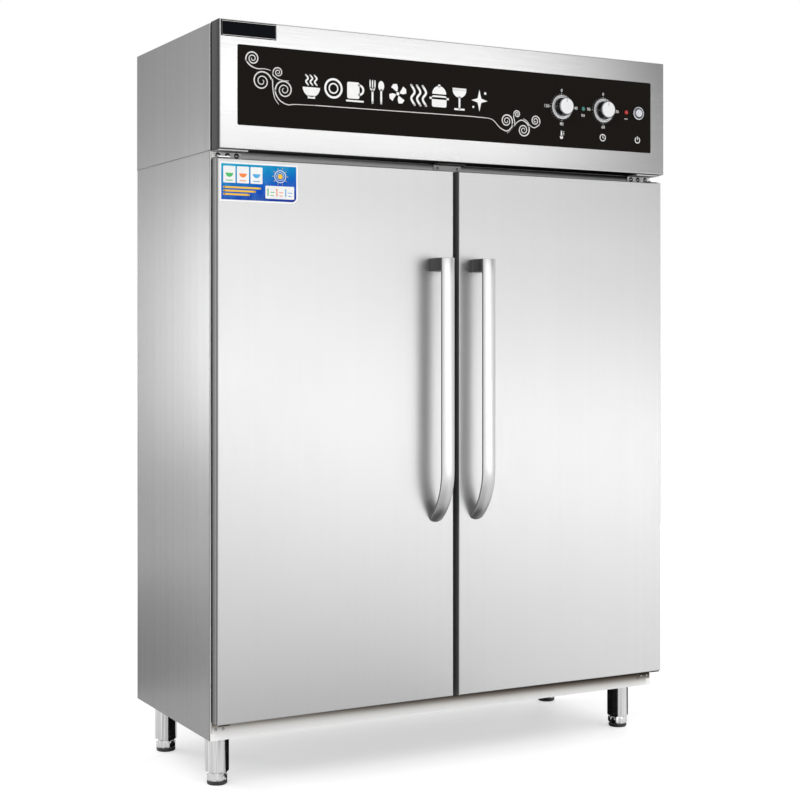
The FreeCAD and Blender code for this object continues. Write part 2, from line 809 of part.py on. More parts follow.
# ---------------------------------------------------------------- controls
def knob(name, x):
    """A round skirt under a fluted, tapered cap, on the spindle that turns with it."""
    body = new_body(name)
    skirt = sketch_on(body, name + "_skirt_section", "XZ")
    facets(skirt, "0", "0", SKIRT_SIDES, "knob_skirt_radius")
    pad(body, name + "_skirt", skirt, "knob_skirt_thickness")
    stages = []
    for label, depth, radius in (
            ("foot", "knob_skirt_thickness", "knob_cap_radius"),
            ("brow", "knob_projection - knob_edge", "knob_cap_radius - knob_taper"),
            ("face", "knob_projection", "knob_cap_radius - knob_taper - knob_edge")):
        stage = sketch_on(body, f"{name}_{label}", "XZ", depth)
        facets(stage, "0", "0", GRIP_SIDES, radius)
        stages.append(stage)
    doc.recompute()
    cap = body.newObject("PartDesign::AdditiveLoft", name + "_cap")
    cap.Profile = stages[0]
    cap.Sections = stages[1:]
    cap.Ruled = True
    spindle = sketch_on(body, name + "_spindle_section", "XZ")
    facets(spindle, "0", "0", STUD_SIDES, "spindle_radius")
    pad(body, name + "_spindle", spindle, "spindle_reach", reverse=True)
    return put(body, x, "knob_back", "control_z")


def control_block(name, x, housing):
    """The fixed part behind a knob: its housing, threaded nose and spindle bore."""
    nose = prism(name + "_nose", "y", STUD_SIDES, "nose_radius",
                 (x, "overlay_front", "control_z"), "fascia_skin_back - overlay_front")
    bore = rod(name + "_bore", "y", "spindle_radius + pin_clearance",
               (x, "overlay_front", "control_z"), "spindle_reach + knob_gap")
    return cut(name, fuse(name + "_solid", [housing, nose]), [bore])


knob("knob_temperature", "temperature_x")
knob("knob_timer", "timer_x")
control_depth = ("fascia_skin_back", "fascia_skin_back + control_box_depth")
control_block("thermostat", "temperature_x", block(
    "thermostat_housing",
    ("temperature_x - control_box_side / 2", "temperature_x + control_box_side / 2"),
    control_depth, ("control_z - control_box_side / 2", "control_z + control_box_side / 2")))
control_block("timer", "timer_x", prism(
    "timer_housing", "y", GRIP_SIDES, "timer_body_radius",
    ("timer_x", "fascia_skin_back", "control_z"), "control_box_depth"))


def lamp(name, x):
    """A round lens on the overlay with its holder behind."""
    lens = prism(name + "_lens", "y", GRIP_SIDES, "lamp_radius",
                 (x, "overlay_front - lamp_dome", "control_z"),
                 "lamp_dome")
    holder = prism(name + "_holder", "y", STUD_SIDES, "lamp_body_radius",
                   (x, "overlay_front", "control_z"), "lamp_body_length")
    return fuse(name, [lens, holder])


lamp("lamp_green", "lamp_green_x")
lamp("lamp_red", "lamp_red_x")

bezel = prism("power_bezel", "y", SKIRT_SIDES, "bezel_radius",
              ("power_x", "overlay_front - bezel_height", "control_z"), "bezel_height")
barrel = prism("power_barrel", "y", GRIP_SIDES, "barrel_radius",
               ("power_x", "overlay_front", "control_z"), "barrel_depth")
guide = prism("power_guide", "y", GRIP_SIDES, "button_bore",
              ("power_x", "overlay_front - bezel_height", "control_z"),
              "bezel_height + barrel_depth - barrel_wall")
cut("power_switch", fuse("power_solid", [bezel, barrel]), [guide])
prism("power_button", "y", GRIP_SIDES, "button_radius",
      ("power_x", "overlay_front - bezel_height - button_proud", "control_z"), "button_length")

# ---------------------------------------------------------------- electrics on the deck
rail_y = ("carcass_front + electrics_setback", "carcass_front + electrics_setback + din_rail_width")
rail_top = "head_base + din_rail_height"
group("head_electrics", [
    block("din_rail", ("timer_x - din_rail_length / 2", "timer_x + din_rail_length / 2"), rail_y,
          ("head_base", rail_top)),
    block("contactor", ("timer_x - contactor_width", "timer_x"), rail_y,
          (rail_top, f"{rail_top} + contactor_height")),
    block("terminal_block", ("timer_x + contactor_width / 2", "timer_x + 2 * contactor_width"),
          rail_y, (rail_top, f"{rail_top} + contactor_height / 2")),
])

# ---------------------------------------------------------------- circulation fan
motor_case = prism("motor_case", "z", GRIP_SIDES, "motor_radius", ("0", "fan_y", "motor_base"),
                   "motor_height")
motor_plate = block("motor_plate", ("-motor_flange / 2", "motor_flange / 2"),
                    ("fan_y - motor_flange / 2", "fan_y + motor_flange / 2"),
                    ("head_base", "motor_base"))
motor_bore = rod("motor_bore", "z", "fan_shaft_radius + shaft_clearance",
                 ("0", "fan_y", "head_base"), "motor_flange_sheet + motor_bore_depth")
cut("fan_motor", fuse("motor_solid", [motor_case, motor_plate]), [motor_bore])


def folded_blade(body, level):
    """One backward-swept blade, folded once between its root and its tip."""
    drawing = sketch_on(body, "blade_section", "XY", level)
    thick = "fan_blade_thickness"
    outline(drawing, [
        ("fan_blade_root", "0"), ("blade_fold_x", "blade_fold_y"), ("blade_tip_x", "blade_tip_y"),
        (f"blade_tip_x - {thick} * sin(fan_blade_sweep)",
         f"blade_tip_y + {thick} * cos(fan_blade_sweep)"),
        (f"blade_fold_x - {thick} / 2", f"blade_fold_y + {thick}"),
        ("fan_blade_root", thick),
    ])
    return drawing


def impeller():
    """A back plate with curved blades below it, a hub and the motor shaft."""
    body = new_body("fan_impeller")
    plate_level = "fan_top - fan_plate"
    plate = sketch_on(body, "plate_section", "XY", plate_level)
    facets(plate, "0", "0", SKIRT_SIDES, "fan_radius")
    pad(body, "back_plate", plate, "fan_plate")
    hub = sketch_on(body, "hub_section", "XY", plate_level)
    facets(hub, "0", "0", STUD_SIDES, "fan_hub_radius")
    pad(body, "hub", hub, "fan_blade_height / 2", reverse=True)
    shaft = sketch_on(body, "shaft_section", "XY", "fan_top")
    circle(shaft, "0", "0", "fan_shaft_radius")
    pad(body, "shaft", shaft, "motor_base + motor_bore_depth - fan_plate - fan_top")
    blade = pad(body, "blade", folded_blade(body, plate_level), "fan_blade_height", reverse=True)
    doc.recompute()
    pattern = body.newObject("PartDesign::PolarPattern", "blades")
    pattern.Originals = [blade]
    role = {feature.Role: feature for feature in body.Origin.OriginFeatures}
    pattern.Axis = (role["Z_Axis"], [""])
    pattern.Angle = 360
    bind(pattern, "Occurrences", "fan_blades")
    body.Tip = pattern
    return put(body, "0", "fan_y", "0")


impeller()


def fan_cover():
    """A slotted pan under the ceiling, open at the rear to the air duct."""
    body = new_body("fan_grille")
    outside = sketch_on(body, "grille_outside", "XY", "grille_base")
    rectangle(outside, ("-grille_half_width", "grille_half_width"), ("grille_front", "duct_front"))
    pad(body, "grille_box", outside, "grille_depth")
    inside = sketch_on(body, "grille_inside", "XY", "ceiling_base")
    rectangle(inside, ("-(grille_half_width - liner_sheet)", "grille_half_width - liner_sheet"),
              ("grille_front + liner_sheet", "duct_front"))
    pocket(body, "grille_cavity", inside, "grille_depth - liner_sheet")
    slot = sketch_on(body, "slot_section", "XY", "grille_base")
    first = "-(grille_slots - 1) * grille_slot"
    rectangle(slot, (f"{first} - grille_slot / 2", f"{first} + grille_slot / 2"),
              ("fan_y - fan_radius", "fan_y + fan_radius"))
    first_slot = pocket(body, "slot", slot, "liner_sheet", reverse=True)
    pattern = body.newObject("PartDesign::LinearPattern", "slots")
    pattern.Originals = [first_slot]
    pattern.Direction = (slot, ["H_Axis"])
    bind(pattern, "Length", "2 * grille_slot * (grille_slots - 1)")
    bind(pattern, "Occurrences", "grille_slots")
    body.Tip = pattern
    return body


fan_cover()


# ---------------------------------------------------------------- air duct and heater
def duct():
    """A channel on the rear liner: an inlet behind the fan and rows of outlet slots."""
    channel = folded("duct_channel", "XY", [
        ("-duct_half_width", "rear_liner_inside"), ("-duct_half_width", "duct_front"),
        ("duct_half_width", "duct_front"), ("duct_half_width", "rear_liner_inside"),
        ("duct_half_width - liner_sheet", "rear_liner_inside"),
        ("duct_half_width - liner_sheet", "duct_front + liner_sheet"),
        ("-(duct_half_width - liner_sheet)", "duct_front + liner_sheet"),
        ("-(duct_half_width - liner_sheet)", "rear_liner_inside"),
    ], "floor_top + duct_foot", "ceiling_base - floor_top - duct_foot")
    web = ("duct_front", "duct_front + liner_sheet")
    openings = [block("duct_inlet", ("-fan_radius", "fan_radius"), web,
                      ("grille_base + 2 * liner_sheet", "ceiling_base - 2 * liner_sheet"))]
    rows = int(value("duct_slot_rows"))
    for row in range(rows):
        base = (f"floor_top + duct_foot + ({row} + 0.5) / duct_slot_rows"
                " * (grille_base - floor_top - duct_foot)")
        for column in (-1, 1):
            middle = f"{column} * duct_half_width / 2"
            openings.append(block(
                f"duct_slot_{row}_{'left' if column < 0 else 'right'}",
                (f"{middle} - duct_slot_length / 2", f"{middle} + duct_slot_length / 2"), web,
                (base, f"{base} + duct_slot_height")))
    return cut("air_duct", channel, openings)


duct()


def heater():
    """A hairpin element behind the impeller, both ends on the grille's left wall."""
    body = new_body("heating_elements")
    near, far = "heater_y - heater_loop_radius", "heater_y + heater_loop_radius"
    corner = "heater_loop_radius * tan(22.5)"
    path = sketch_on(body, "heater_path", "XY", "grille_base + heater_margin")
    run = [
        ("heater_start", near), (f"heater_half_length - {corner}", near),
        ("heater_half_length", f"{near} + {corner}"), ("heater_half_length", f"{far} - {corner}"),
        (f"heater_half_length - {corner}", far), ("heater_start", far),
    ]
    rough = [V(0, 0, 0), V(3, 0, 0), V(4, 1, 0), V(4, 2, 0), V(3, 3, 0), V(0, 3, 0)]
    for start, end in zip(rough, rough[1:]):
        path.addGeometry(Part.LineSegment(start, end), False)
    for k in range(len(run) - 2):
        path.addConstraint(Sketcher.Constraint("Coincident", k, 2, k + 1, 1))
    for k in range(len(run) - 1):
        pin_point(path, k, 1, *run[k])
    pin_point(path, len(run) - 2, 2, *run[-1])
    section = sketch_on(body, "heater_section", "YZ", "heater_start")
    facets(section, near, "grille_base + heater_margin", HOLE_SIDES, "heater_radius")
    doc.recompute()
    tube = body.newObject("PartDesign::AdditivePipe", "heater_tube")
    tube.Profile = section
    tube.Spine = (path, [f"Edge{k + 1}" for k in range(len(run) - 1)])
    tube.Transition = "Right corner"
    return body


heater()

# ---------------------------------------------------------------- racks and what carries them
upright_z = ("floor_top", "ceiling_base")
upright_fronts = ("upright_front_y", "upright_rear_y")


def wall_upright(name, side, front):
    """A channel on the liner side, open towards the liner."""
    def at(formula):
        return formula if side > 0 else f"-({formula})"
    back = f"{front} + upright_width"
    inner = "column_outside + runner_sheet"
    return folded(name, "XY", [
        (at("liner_inside"), front), (at("column_outside"), front), (at("column_outside"), back),
        (at("liner_inside"), back), (at("liner_inside"), f"{back} - runner_sheet"),
        (at(inner), f"{back} - runner_sheet"), (at(inner), f"{front} + runner_sheet"),
        (at("liner_inside"), f"{front} + runner_sheet"),
    ], "floor_top", "ceiling_base - floor_top")


def centre_upright(name, front):
    """A square tube between the two columns of racks, from the floor to the fan's cover."""
    outer = block(name + "_outer", ("-upright_width / 2", "upright_width / 2"),
                  (front, f"{front} + upright_width"), ("floor_top", "grille_base"))
    bore = "upright_width / 2 - runner_sheet"
    inner = block(name + "_inner", (f"-({bore})", bore),
                  (f"{front} + runner_sheet", f"{front} + upright_width - runner_sheet"),
                  ("floor_top", "grille_base"))
    return cut(name, outer, [inner])


uprights = []
for end, front in zip(("front", "rear"), upright_fronts):
    uprights.append(wall_upright(f"upright_left_{end}", -1, front))
    uprights.append(wall_upright(f"upright_right_{end}", 1, front))
    uprights.append(centre_upright(f"upright_centre_{end}", front))
group("rack_uprights", uprights)

LEVELS = range(int(value("rack_levels")))


def level_z(level):
    return f"floor_top + rack_first_level + {level} * rack_pitch"


def runner(name, side, wall):
    """An angle from the front to the rear upright: wall is the side that it is fixed to."""
    x, inward, z = wall
    ledge_x = mirrored(side, *((x, f"{x} + runner_ledge") if inward > 0
                               else (f"{x} - runner_ledge", x)))
    leg_x = mirrored(side, *((x, f"{x} + runner_sheet") if inward > 0
                             else (f"{x} - runner_sheet", x)))
    y = ("rack_front", "rack_rear")
    ledge = block(name + "_ledge", ledge_x, y, (f"{z} - runner_sheet", z))
    leg = block(name + "_leg", leg_x, y, (f"{z} - runner_sheet", f"{z} + runner_height"))
    return fuse(name, [ledge, leg])


def rack(name, side, level):
    """A rectangular frame of flat bar with round wires from front to rear."""
    base = level_z(level)
    x = mirrored(side, "column_inside + runner_sheet + rack_side_gap",
                 "column_outside - runner_sheet - rack_side_gap")
    y = ("rack_front", "rack_rear")
    body = new_body(name + "_frame")
    drawing = sketch_on(body, name + "_section", "XY", base)
    rectangle(drawing, x, y)
    rectangle(drawing, (f"{x[0]} + rack_bar", f"{x[1]} - rack_bar"),
              (f"{y[0]} + rack_bar", f"{y[1]} - rack_bar"))
    pad(body, name + "_bars", drawing, "rack_bar_height")
    wires = [
        prism(f"{name}_wire_{k}", "y", 6, "rack_wire_radius",
              (f"{x[0]} + ({k} + 1) / (rack_wires + 1) * (({x[1]}) - ({x[0]}))",
               f"{y[0]} + rack_bar / 2", f"{base} + rack_bar_height / 2"),
              f"({y[1]}) - ({y[0]}) - rack_bar")
        for k in range(int(value("rack_wires")))
    ]
    return fuse(name, [body] + wires)


runners = []
for label, side in (("left", -1), ("right", 1)):
    racks = []
    for level in LEVELS:
        for wall, place in (("inner", ("column_inside", 1)), ("outer", ("column_outside", -1))):
            runners.append(runner(f"runner_{label}_{wall}_{level}", side,
                                  (*place, level_z(level))))
        racks.append(rack(f"rack_{label}_{level}", side, level))
    group(f"racks_{label}", racks)
group("rack_runners", runners)

# ---------------------------------------------------------------- legs and levelling feet
CORNERS = [
    (f"{end}_{label}", f"{side} * leg_x", f"leg_{end}_y")
    for end in ("front", "rear") for label, side in (("left", -1), ("right", 1))
]


def leg(name, x, y):
    """A closed leg under a mounting plate, with the bore for the foot's stud."""
    plate_base = "pan_base - leg_plate_sheet"
    plate = block(name + "_plate", (f"{x} - leg_plate_side / 2", f"{x} + leg_plate_side / 2"),
                  (f"{y} - leg_plate_side / 2", f"{y} + leg_plate_side / 2"),
                  (plate_base, "pan_base"))
    tube = rod(name + "_tube", "z", "leg_radius", (x, y, "leg_base"), f"{plate_base} - leg_base")
    bore = prism(name + "_bore", "z", STUD_SIDES, f"stud_radius / cos({180 / STUD_SIDES}) + pin_clearance",
                 (x, y, "leg_base"), "stud_length + running_gap")
    return fuse(name, [plate, cut(name + "_drilled", tube, [bore])])


def foot(name, x, y):
    """A faceted adjusting collar on a rubber pad, with its stud."""
    collar = prism(name + "_collar", "z", STUD_SIDES, "foot_radius",
                   (x, y, "foot_pad_height"), "foot_height - foot_pad_height")
    rubber = prism(name + "_pad", "z", GRIP_SIDES, "foot_radius - foot_pad_edge",
                   (x, y, "0"), "foot_pad_height")
    stud = prism(name + "_stud", "z", STUD_SIDES, "stud_radius", (x, y, "foot_height"),
                 "stud_length")
    return fuse(name, [collar, rubber, stud])


group("leg_tubes", [leg("leg_" + name, x, y) for name, x, y in CORNERS])
for name, x, y in CORNERS:
    foot("foot_" + name, x, y)

# ---------------------------------------------------------------- hinge brackets and catch plate
leaf_y = ("leaf_front", "carcass_front")
tongue_y = ("leaf_front - tongue_reach", "leaf_front")
bracket_outside = "half_width - bracket_edge"


def top_bracket(name, side):
    """A leaf on the head rail, a flange under the fascia and a tongue with the pin."""
    wide = mirrored(side, f"{bracket_outside} - bracket_width", bracket_outside)
    narrow = mirrored(side, f"{bracket_outside} - tongue_width", bracket_outside)
    return fuse(name, [
        block(name + "_leaf", wide, leaf_y, ("top_tongue_base", "top_flange_top")),
        block(name + "_flange", wide, tongue_y,
              ("top_flange_top - bracket_sheet", "top_flange_top")),
        block(name + "_tongue", narrow, tongue_y,
              ("top_tongue_base", "top_tongue_base + bracket_sheet")),
        rod(name + "_pin", "z", "pin_radius",
            (f"{side} * hinge_x", "hinge_y", "top_tongue_base - pin_length"), "pin_length"),
    ])


def bottom_bracket(name, side):
    """A leaf on the sill and a tongue under the door with the pin."""
    wide = mirrored(side, f"{bracket_outside} - bracket_foot_width", bracket_outside)
    narrow = mirrored(side, f"{bracket_outside} - tongue_width", bracket_outside)
    return fuse(name, [
        block(name + "_leaf", wide, leaf_y,
              ("foot_tongue_top - bracket_foot_drop", "foot_tongue_top")),
        block(name + "_tongue", narrow, tongue_y,
              ("foot_tongue_top - bracket_sheet", "foot_tongue_top")),
        rod(name + "_pin", "z", "pin_radius", (f"{side} * hinge_x", "hinge_y", "foot_tongue_top"),
            "pin_length"),
    ])


group("hinge_brackets", [
    maker(f"{kind}_bracket_{label}", side)
    for kind, maker in (("top", top_bracket), ("bottom", bottom_bracket))
    for label, side in (("left", -1), ("right", 1))
])
catch_x = ("-catch_width / 2", "catch_width / 2")
fuse("catch_plate", [
    block("catch_leaf", catch_x, leaf_y, ("top_tongue_base", "top_flange_top")),
    block("catch_flange", catch_x, ("leaf_front - catch_reach", "leaf_front"),
          ("top_flange_top - bracket_sheet", "top_flange_top")),
])


# ---------------------------------------------------------------- doors
def bush_seat(name, side, base):
    """The square block that a hinge bush fills in the door."""
    return block(name, mirrored(side, "hinge_x - bush_width / 2", "hinge_x + bush_width / 2"),
                 ("hinge_y - bush_width / 2", "hinge_y + bush_width / 2"),
                 (base, f"{base} + bush_height"))


def hinge_bore(name, side, base, radius, length):
    return rod(name, "z", radius, (f"{side} * hinge_x", "hinge_y", base), length)


def door_skin(name, side):
    """A folded pan, closed at the front, with rounded front edges and two pin holes."""
    body = new_body(name + "_pan")
    face = sketch_on(body, name + "_face", "XZ", "-door_back")
    rectangle(face, mirrored(side, "door_inner_edge", "half_width"), ("door_bottom", "door_top"))
    box = pad(body, name + "_box", face, "door_thickness")
    front = value("door_front")
    round_edges(body, name + "_bends", box, "bend_radius", lambda edge: in_plane(edge, 1, front))
    inside = sketch_on(body, name + "_inside", "XZ", "-door_back")
    rectangle(inside, mirrored(side, "door_inner_edge + door_sheet", "half_width - door_sheet"),
              ("door_bottom + door_sheet", "door_top - door_sheet"))
    pocket(body, name + "_cavity", inside, "door_thickness - door_sheet", reverse=True)
    return cut(name, body, [
        hinge_bore(name + "_top_hole", side, "door_top - door_sheet",
                   "pin_radius + nose_clearance", "door_sheet"),
        hinge_bore(name + "_bottom_hole", side, "door_bottom",
                   "pin_radius + nose_clearance", "door_sheet"),
    ])


def door_liner(name, side):
    """The inner panel: a flat border for the gasket round a shallow dished field."""
    body = new_body(name)
    plate = sketch_on(body, name + "_plate_section", "XZ", "-door_back")
    rectangle(plate, mirrored(side, "door_inner_edge + door_sheet", "half_width - door_sheet"),
              ("door_bottom + door_sheet", "door_top - door_sheet"))
    pad(body, name + "_plate", plate, "door_sheet")

    def level(label, inset):
        drawing = sketch_on(body, f"{name}_{label}_section", "XZ", "-door_back")
        rectangle(drawing, mirrored(side, f"door_inner_edge + {inset}", f"half_width - ({inset})"),
                  (f"door_bottom + {inset}", f"door_top - ({inset})"))
        return drawing
    pad(body, name + "_rise", level("rise", "liner_border - door_sheet"),
        "liner_dish + door_sheet")
    pocket(body, name + "_field", level("field", "liner_border"), "liner_dish", reverse=True)
    return body


def door_gasket(name, side):
    body = new_body(name)
    outer = (mirrored(side, "door_inner_edge + gasket_inset", "half_width - gasket_hinge_inset"),
             ("door_bottom + gasket_inset", "door_top - gasket_inset"))
    inner = (mirrored(side, "door_inner_edge + gasket_inset + gasket_width",
                      "half_width - gasket_hinge_inset - gasket_width"),
             ("door_bottom + gasket_inset + gasket_width",
              "door_top - gasket_inset - gasket_width"))
    ring(body, name + "_ring", "gasket_front", outer, inner, "gasket_back - gasket_front",
         reverse=True)
    return body


# where the crown's corners stand, as shares of the handle's half width
CROWN_SHARES = (1, 0.55, 0, -0.55, -1)


def handle(name, side):
    """A crowned bar swept down the door and back into its face, trimmed at that face."""
    body = new_body(name)
    centre = f"{side} * handle_offset"
    section = sketch_on(body, name + "_section", "XY", "handle_top")
    half = "handle_width / 2"
    crown = [(f"{centre} + {share} * {half}",
              f"handle_front + crown_radius - sqrt(crown_radius^2 - ({share} * {half})^2)")
             for share in CROWN_SHARES]
    outline(section, crown + [(f"{centre} - {half}", "handle_back"),
                              (f"{centre} + {half}", "handle_back")])

    path = sketch_on(body, name + "_path", "YZ")
    back, top, bend = value("handle_back"), value("handle_top"), value("handle_bend")
    path.addGeometry(Part.LineSegment(V(back, top, 0), V(back, bend, 0)), False)
    size = value("handle_spine_radius")
    sweep = math.radians(value("handle_sweep_angle"))
    hub = V(back + size, bend, 0)
    path.addGeometry(Part.ArcOfCircle(Part.Circle(hub, V(0, 0, 1), size),
                                      math.pi, math.pi + sweep), False)
    path.addConstraint(Sketcher.Constraint("Coincident", 0, 2, 1, 1))
    pin_point(path, 0, 1, "handle_back", "handle_top")
    pin_point(path, 1, 1, "handle_back", "handle_bend")
    pin_point(path, 1, 3, "handle_back + handle_spine_radius", "handle_bend")
    angle = path.addConstraint(Sketcher.Constraint("Angle", 1, sweep))
    bind(path, f"Constraints[{angle}]", "handle_sweep_angle")
    bar = body.newObject("PartDesign::AdditivePipe", name + "_sweep")
    bar.Profile = section
    bar.Spine = (path, ["Edge1", "Edge2"])

    trim = sketch_on(body, name + "_trim_section", "XZ", "-(door_front + handle_bend_radius)")
    rectangle(trim, (f"{centre} - handle_width", f"{centre} + handle_width"),
              ("door_bottom", "door_top"))
    pocket(body, name + "_trim", trim, "handle_bend_radius", reverse=True)
    return body


def door(label, side):
    """All the pieces that swing together."""
    name = f"door_{label}"
    door_skin(name + "_skin", side)
    door_liner(name + "_liner", side)
    door_gasket(name + "_gasket", side)
    seats = (("top", "door_top - door_sheet - bush_height"),
             ("bottom", "door_bottom + door_sheet"))
    slab = block(f"{name}_slab",
                 mirrored(side, "door_inner_edge + door_sheet", "half_width - door_sheet"),
                 ("door_front + door_sheet", "door_back - liner_dish - door_sheet"),
                 ("door_bottom + door_sheet", "door_top - door_sheet"))
    cut(name + "_core", slab,
        [bush_seat(f"{name}_{end}_seat", side, base) for end, base in seats])
    group(name + "_bushes", [
        cut(f"{name}_{end}_bush", bush_seat(f"{name}_{end}_bush_block", side, base),
            [hinge_bore(f"{name}_{end}_bore", side, base, "bush_radius_gap", "bush_height")])
        for end, base in seats
    ])
    handle(name + "_handle", side)
    centre = f"{side} * handle_offset"
    block(name + "_handle_block",
          (f"{centre} - handle_block_width / 2", f"{centre} + handle_block_width / 2"),
          ("handle_back", "door_front"), ("handle_top - handle_block_height", "handle_top"))


door("left", -1)
door("right", 1)

# ---------------------------------------------------------------- the finished sub-parts
DOOR_PIECES = ["skin", "liner", "core", "gasket", "bushes", "handle", "handle_block"]
NODES = [
    "side_panel_left", "side_panel_right", "back_panel", "bottom_pan", "front_sill", "head_rail",
    "frame_stiles", "centre_post", "liner_sides", "liner_back", "liner_floor", "liner_ceiling",
    "insulation", "head_deck", "head_casing", "head_front_frame", "head_rear_cover",
    "cable_gland", "head_fascia", "control_overlay", "thermostat", "timer", "lamp_green",
    "lamp_red", "power_switch", "head_electrics", "fan_motor", "fan_grille", "air_duct",
    "heating_elements", "rack_uprights", "rack_runners", "racks_left", "racks_right",
    "leg_tubes", "hinge_brackets", "catch_plate", "fan_impeller", "knob_temperature",
    "knob_timer", "power_button",
]
NODES += ["foot_" + name for name, x, y in CORNERS]
NODES += [f"door_{label}_{piece}" for label in ("left", "right") for piece in DOOR_PIECES]

doc.recompute()
faults = [thing.Name for thing in doc.Objects
          if {"Invalid", "Error"} & set(thing.State)]
if faults:
    raise RuntimeError("failed objects: " + ", ".join(faults))
for node in NODES:
    shape = doc.getObject(node).Shape
    if shape.isNull() or not shape.isValid():
        raise RuntimeError(f"{node}: no valid shape")
for node in NODES:
    piece = doc.getObject(node)
    piece.Label = node
    piece.Shape.exportStep(f"parts/{node}.step")
print(f"{len(NODES)} sub-parts")
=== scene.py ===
"""Looks of a free-standing two-door dish sterilizer cabinet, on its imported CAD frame."""
import json
import math

import bmesh
import bpy
from mathutils import Matrix, Vector


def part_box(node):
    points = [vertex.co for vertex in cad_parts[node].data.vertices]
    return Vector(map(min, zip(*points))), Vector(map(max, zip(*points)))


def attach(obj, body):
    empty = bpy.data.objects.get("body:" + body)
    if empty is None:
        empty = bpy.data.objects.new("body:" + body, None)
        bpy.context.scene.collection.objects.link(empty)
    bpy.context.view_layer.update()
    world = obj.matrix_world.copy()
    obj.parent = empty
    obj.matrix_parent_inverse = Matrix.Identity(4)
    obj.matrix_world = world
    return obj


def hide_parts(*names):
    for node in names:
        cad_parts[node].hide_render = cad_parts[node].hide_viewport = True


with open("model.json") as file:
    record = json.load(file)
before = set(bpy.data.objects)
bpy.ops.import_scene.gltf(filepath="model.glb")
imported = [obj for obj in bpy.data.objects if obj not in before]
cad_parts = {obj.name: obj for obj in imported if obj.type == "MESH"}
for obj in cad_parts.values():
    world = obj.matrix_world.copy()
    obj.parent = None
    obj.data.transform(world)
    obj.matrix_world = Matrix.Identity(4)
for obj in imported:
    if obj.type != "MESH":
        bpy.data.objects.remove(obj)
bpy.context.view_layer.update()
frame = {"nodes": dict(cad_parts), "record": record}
nodes = frame["nodes"]
scene = bpy.context.scene
scene.view_settings.view_transform = "Standard"
MM = 0.001

# ---------------------------------------------------------------- camera, fitted to the photograph
camera = bpy.data.objects.new("camera", bpy.data.cameras.new("camera"))
scene.collection.objects.link(camera)
camera.location = (-2.1315, -3.8633, 1.1247)
camera.rotation_euler = (math.radians(90), 0, math.radians(-28.61))
camera.data.lens = 71.31
camera.data.sensor_width = 36
camera.data.shift_y = -0.0782
scene.camera = camera


# ---------------------------------------------------------------- ways to build a material
def rgb(tone):
    """A colour as it is; one number makes a grey."""
    return tone if isinstance(tone, tuple) else (tone, tone, tone)


def shade(colour, factor):
    return tuple(min(1.0, part * factor) for part in rgb(colour))


def seen_rays(tree):
    """1 for rays from the camera, from a mirror or through glass, and 0 for those of the light."""
    rays = tree.nodes.new("ShaderNodeLightPath").outputs
    seen = rays["Is Camera Ray"]
    for kind in ("Is Glossy Ray", "Is Transmission Ray"):
        either = tree.nodes.new("ShaderNodeMath")
        either.operation = "MAXIMUM"
        tree.links.new(seen, either.inputs[0])
        tree.links.new(rays[kind], either.inputs[1])
        seen = either.outputs[0]
    return seen


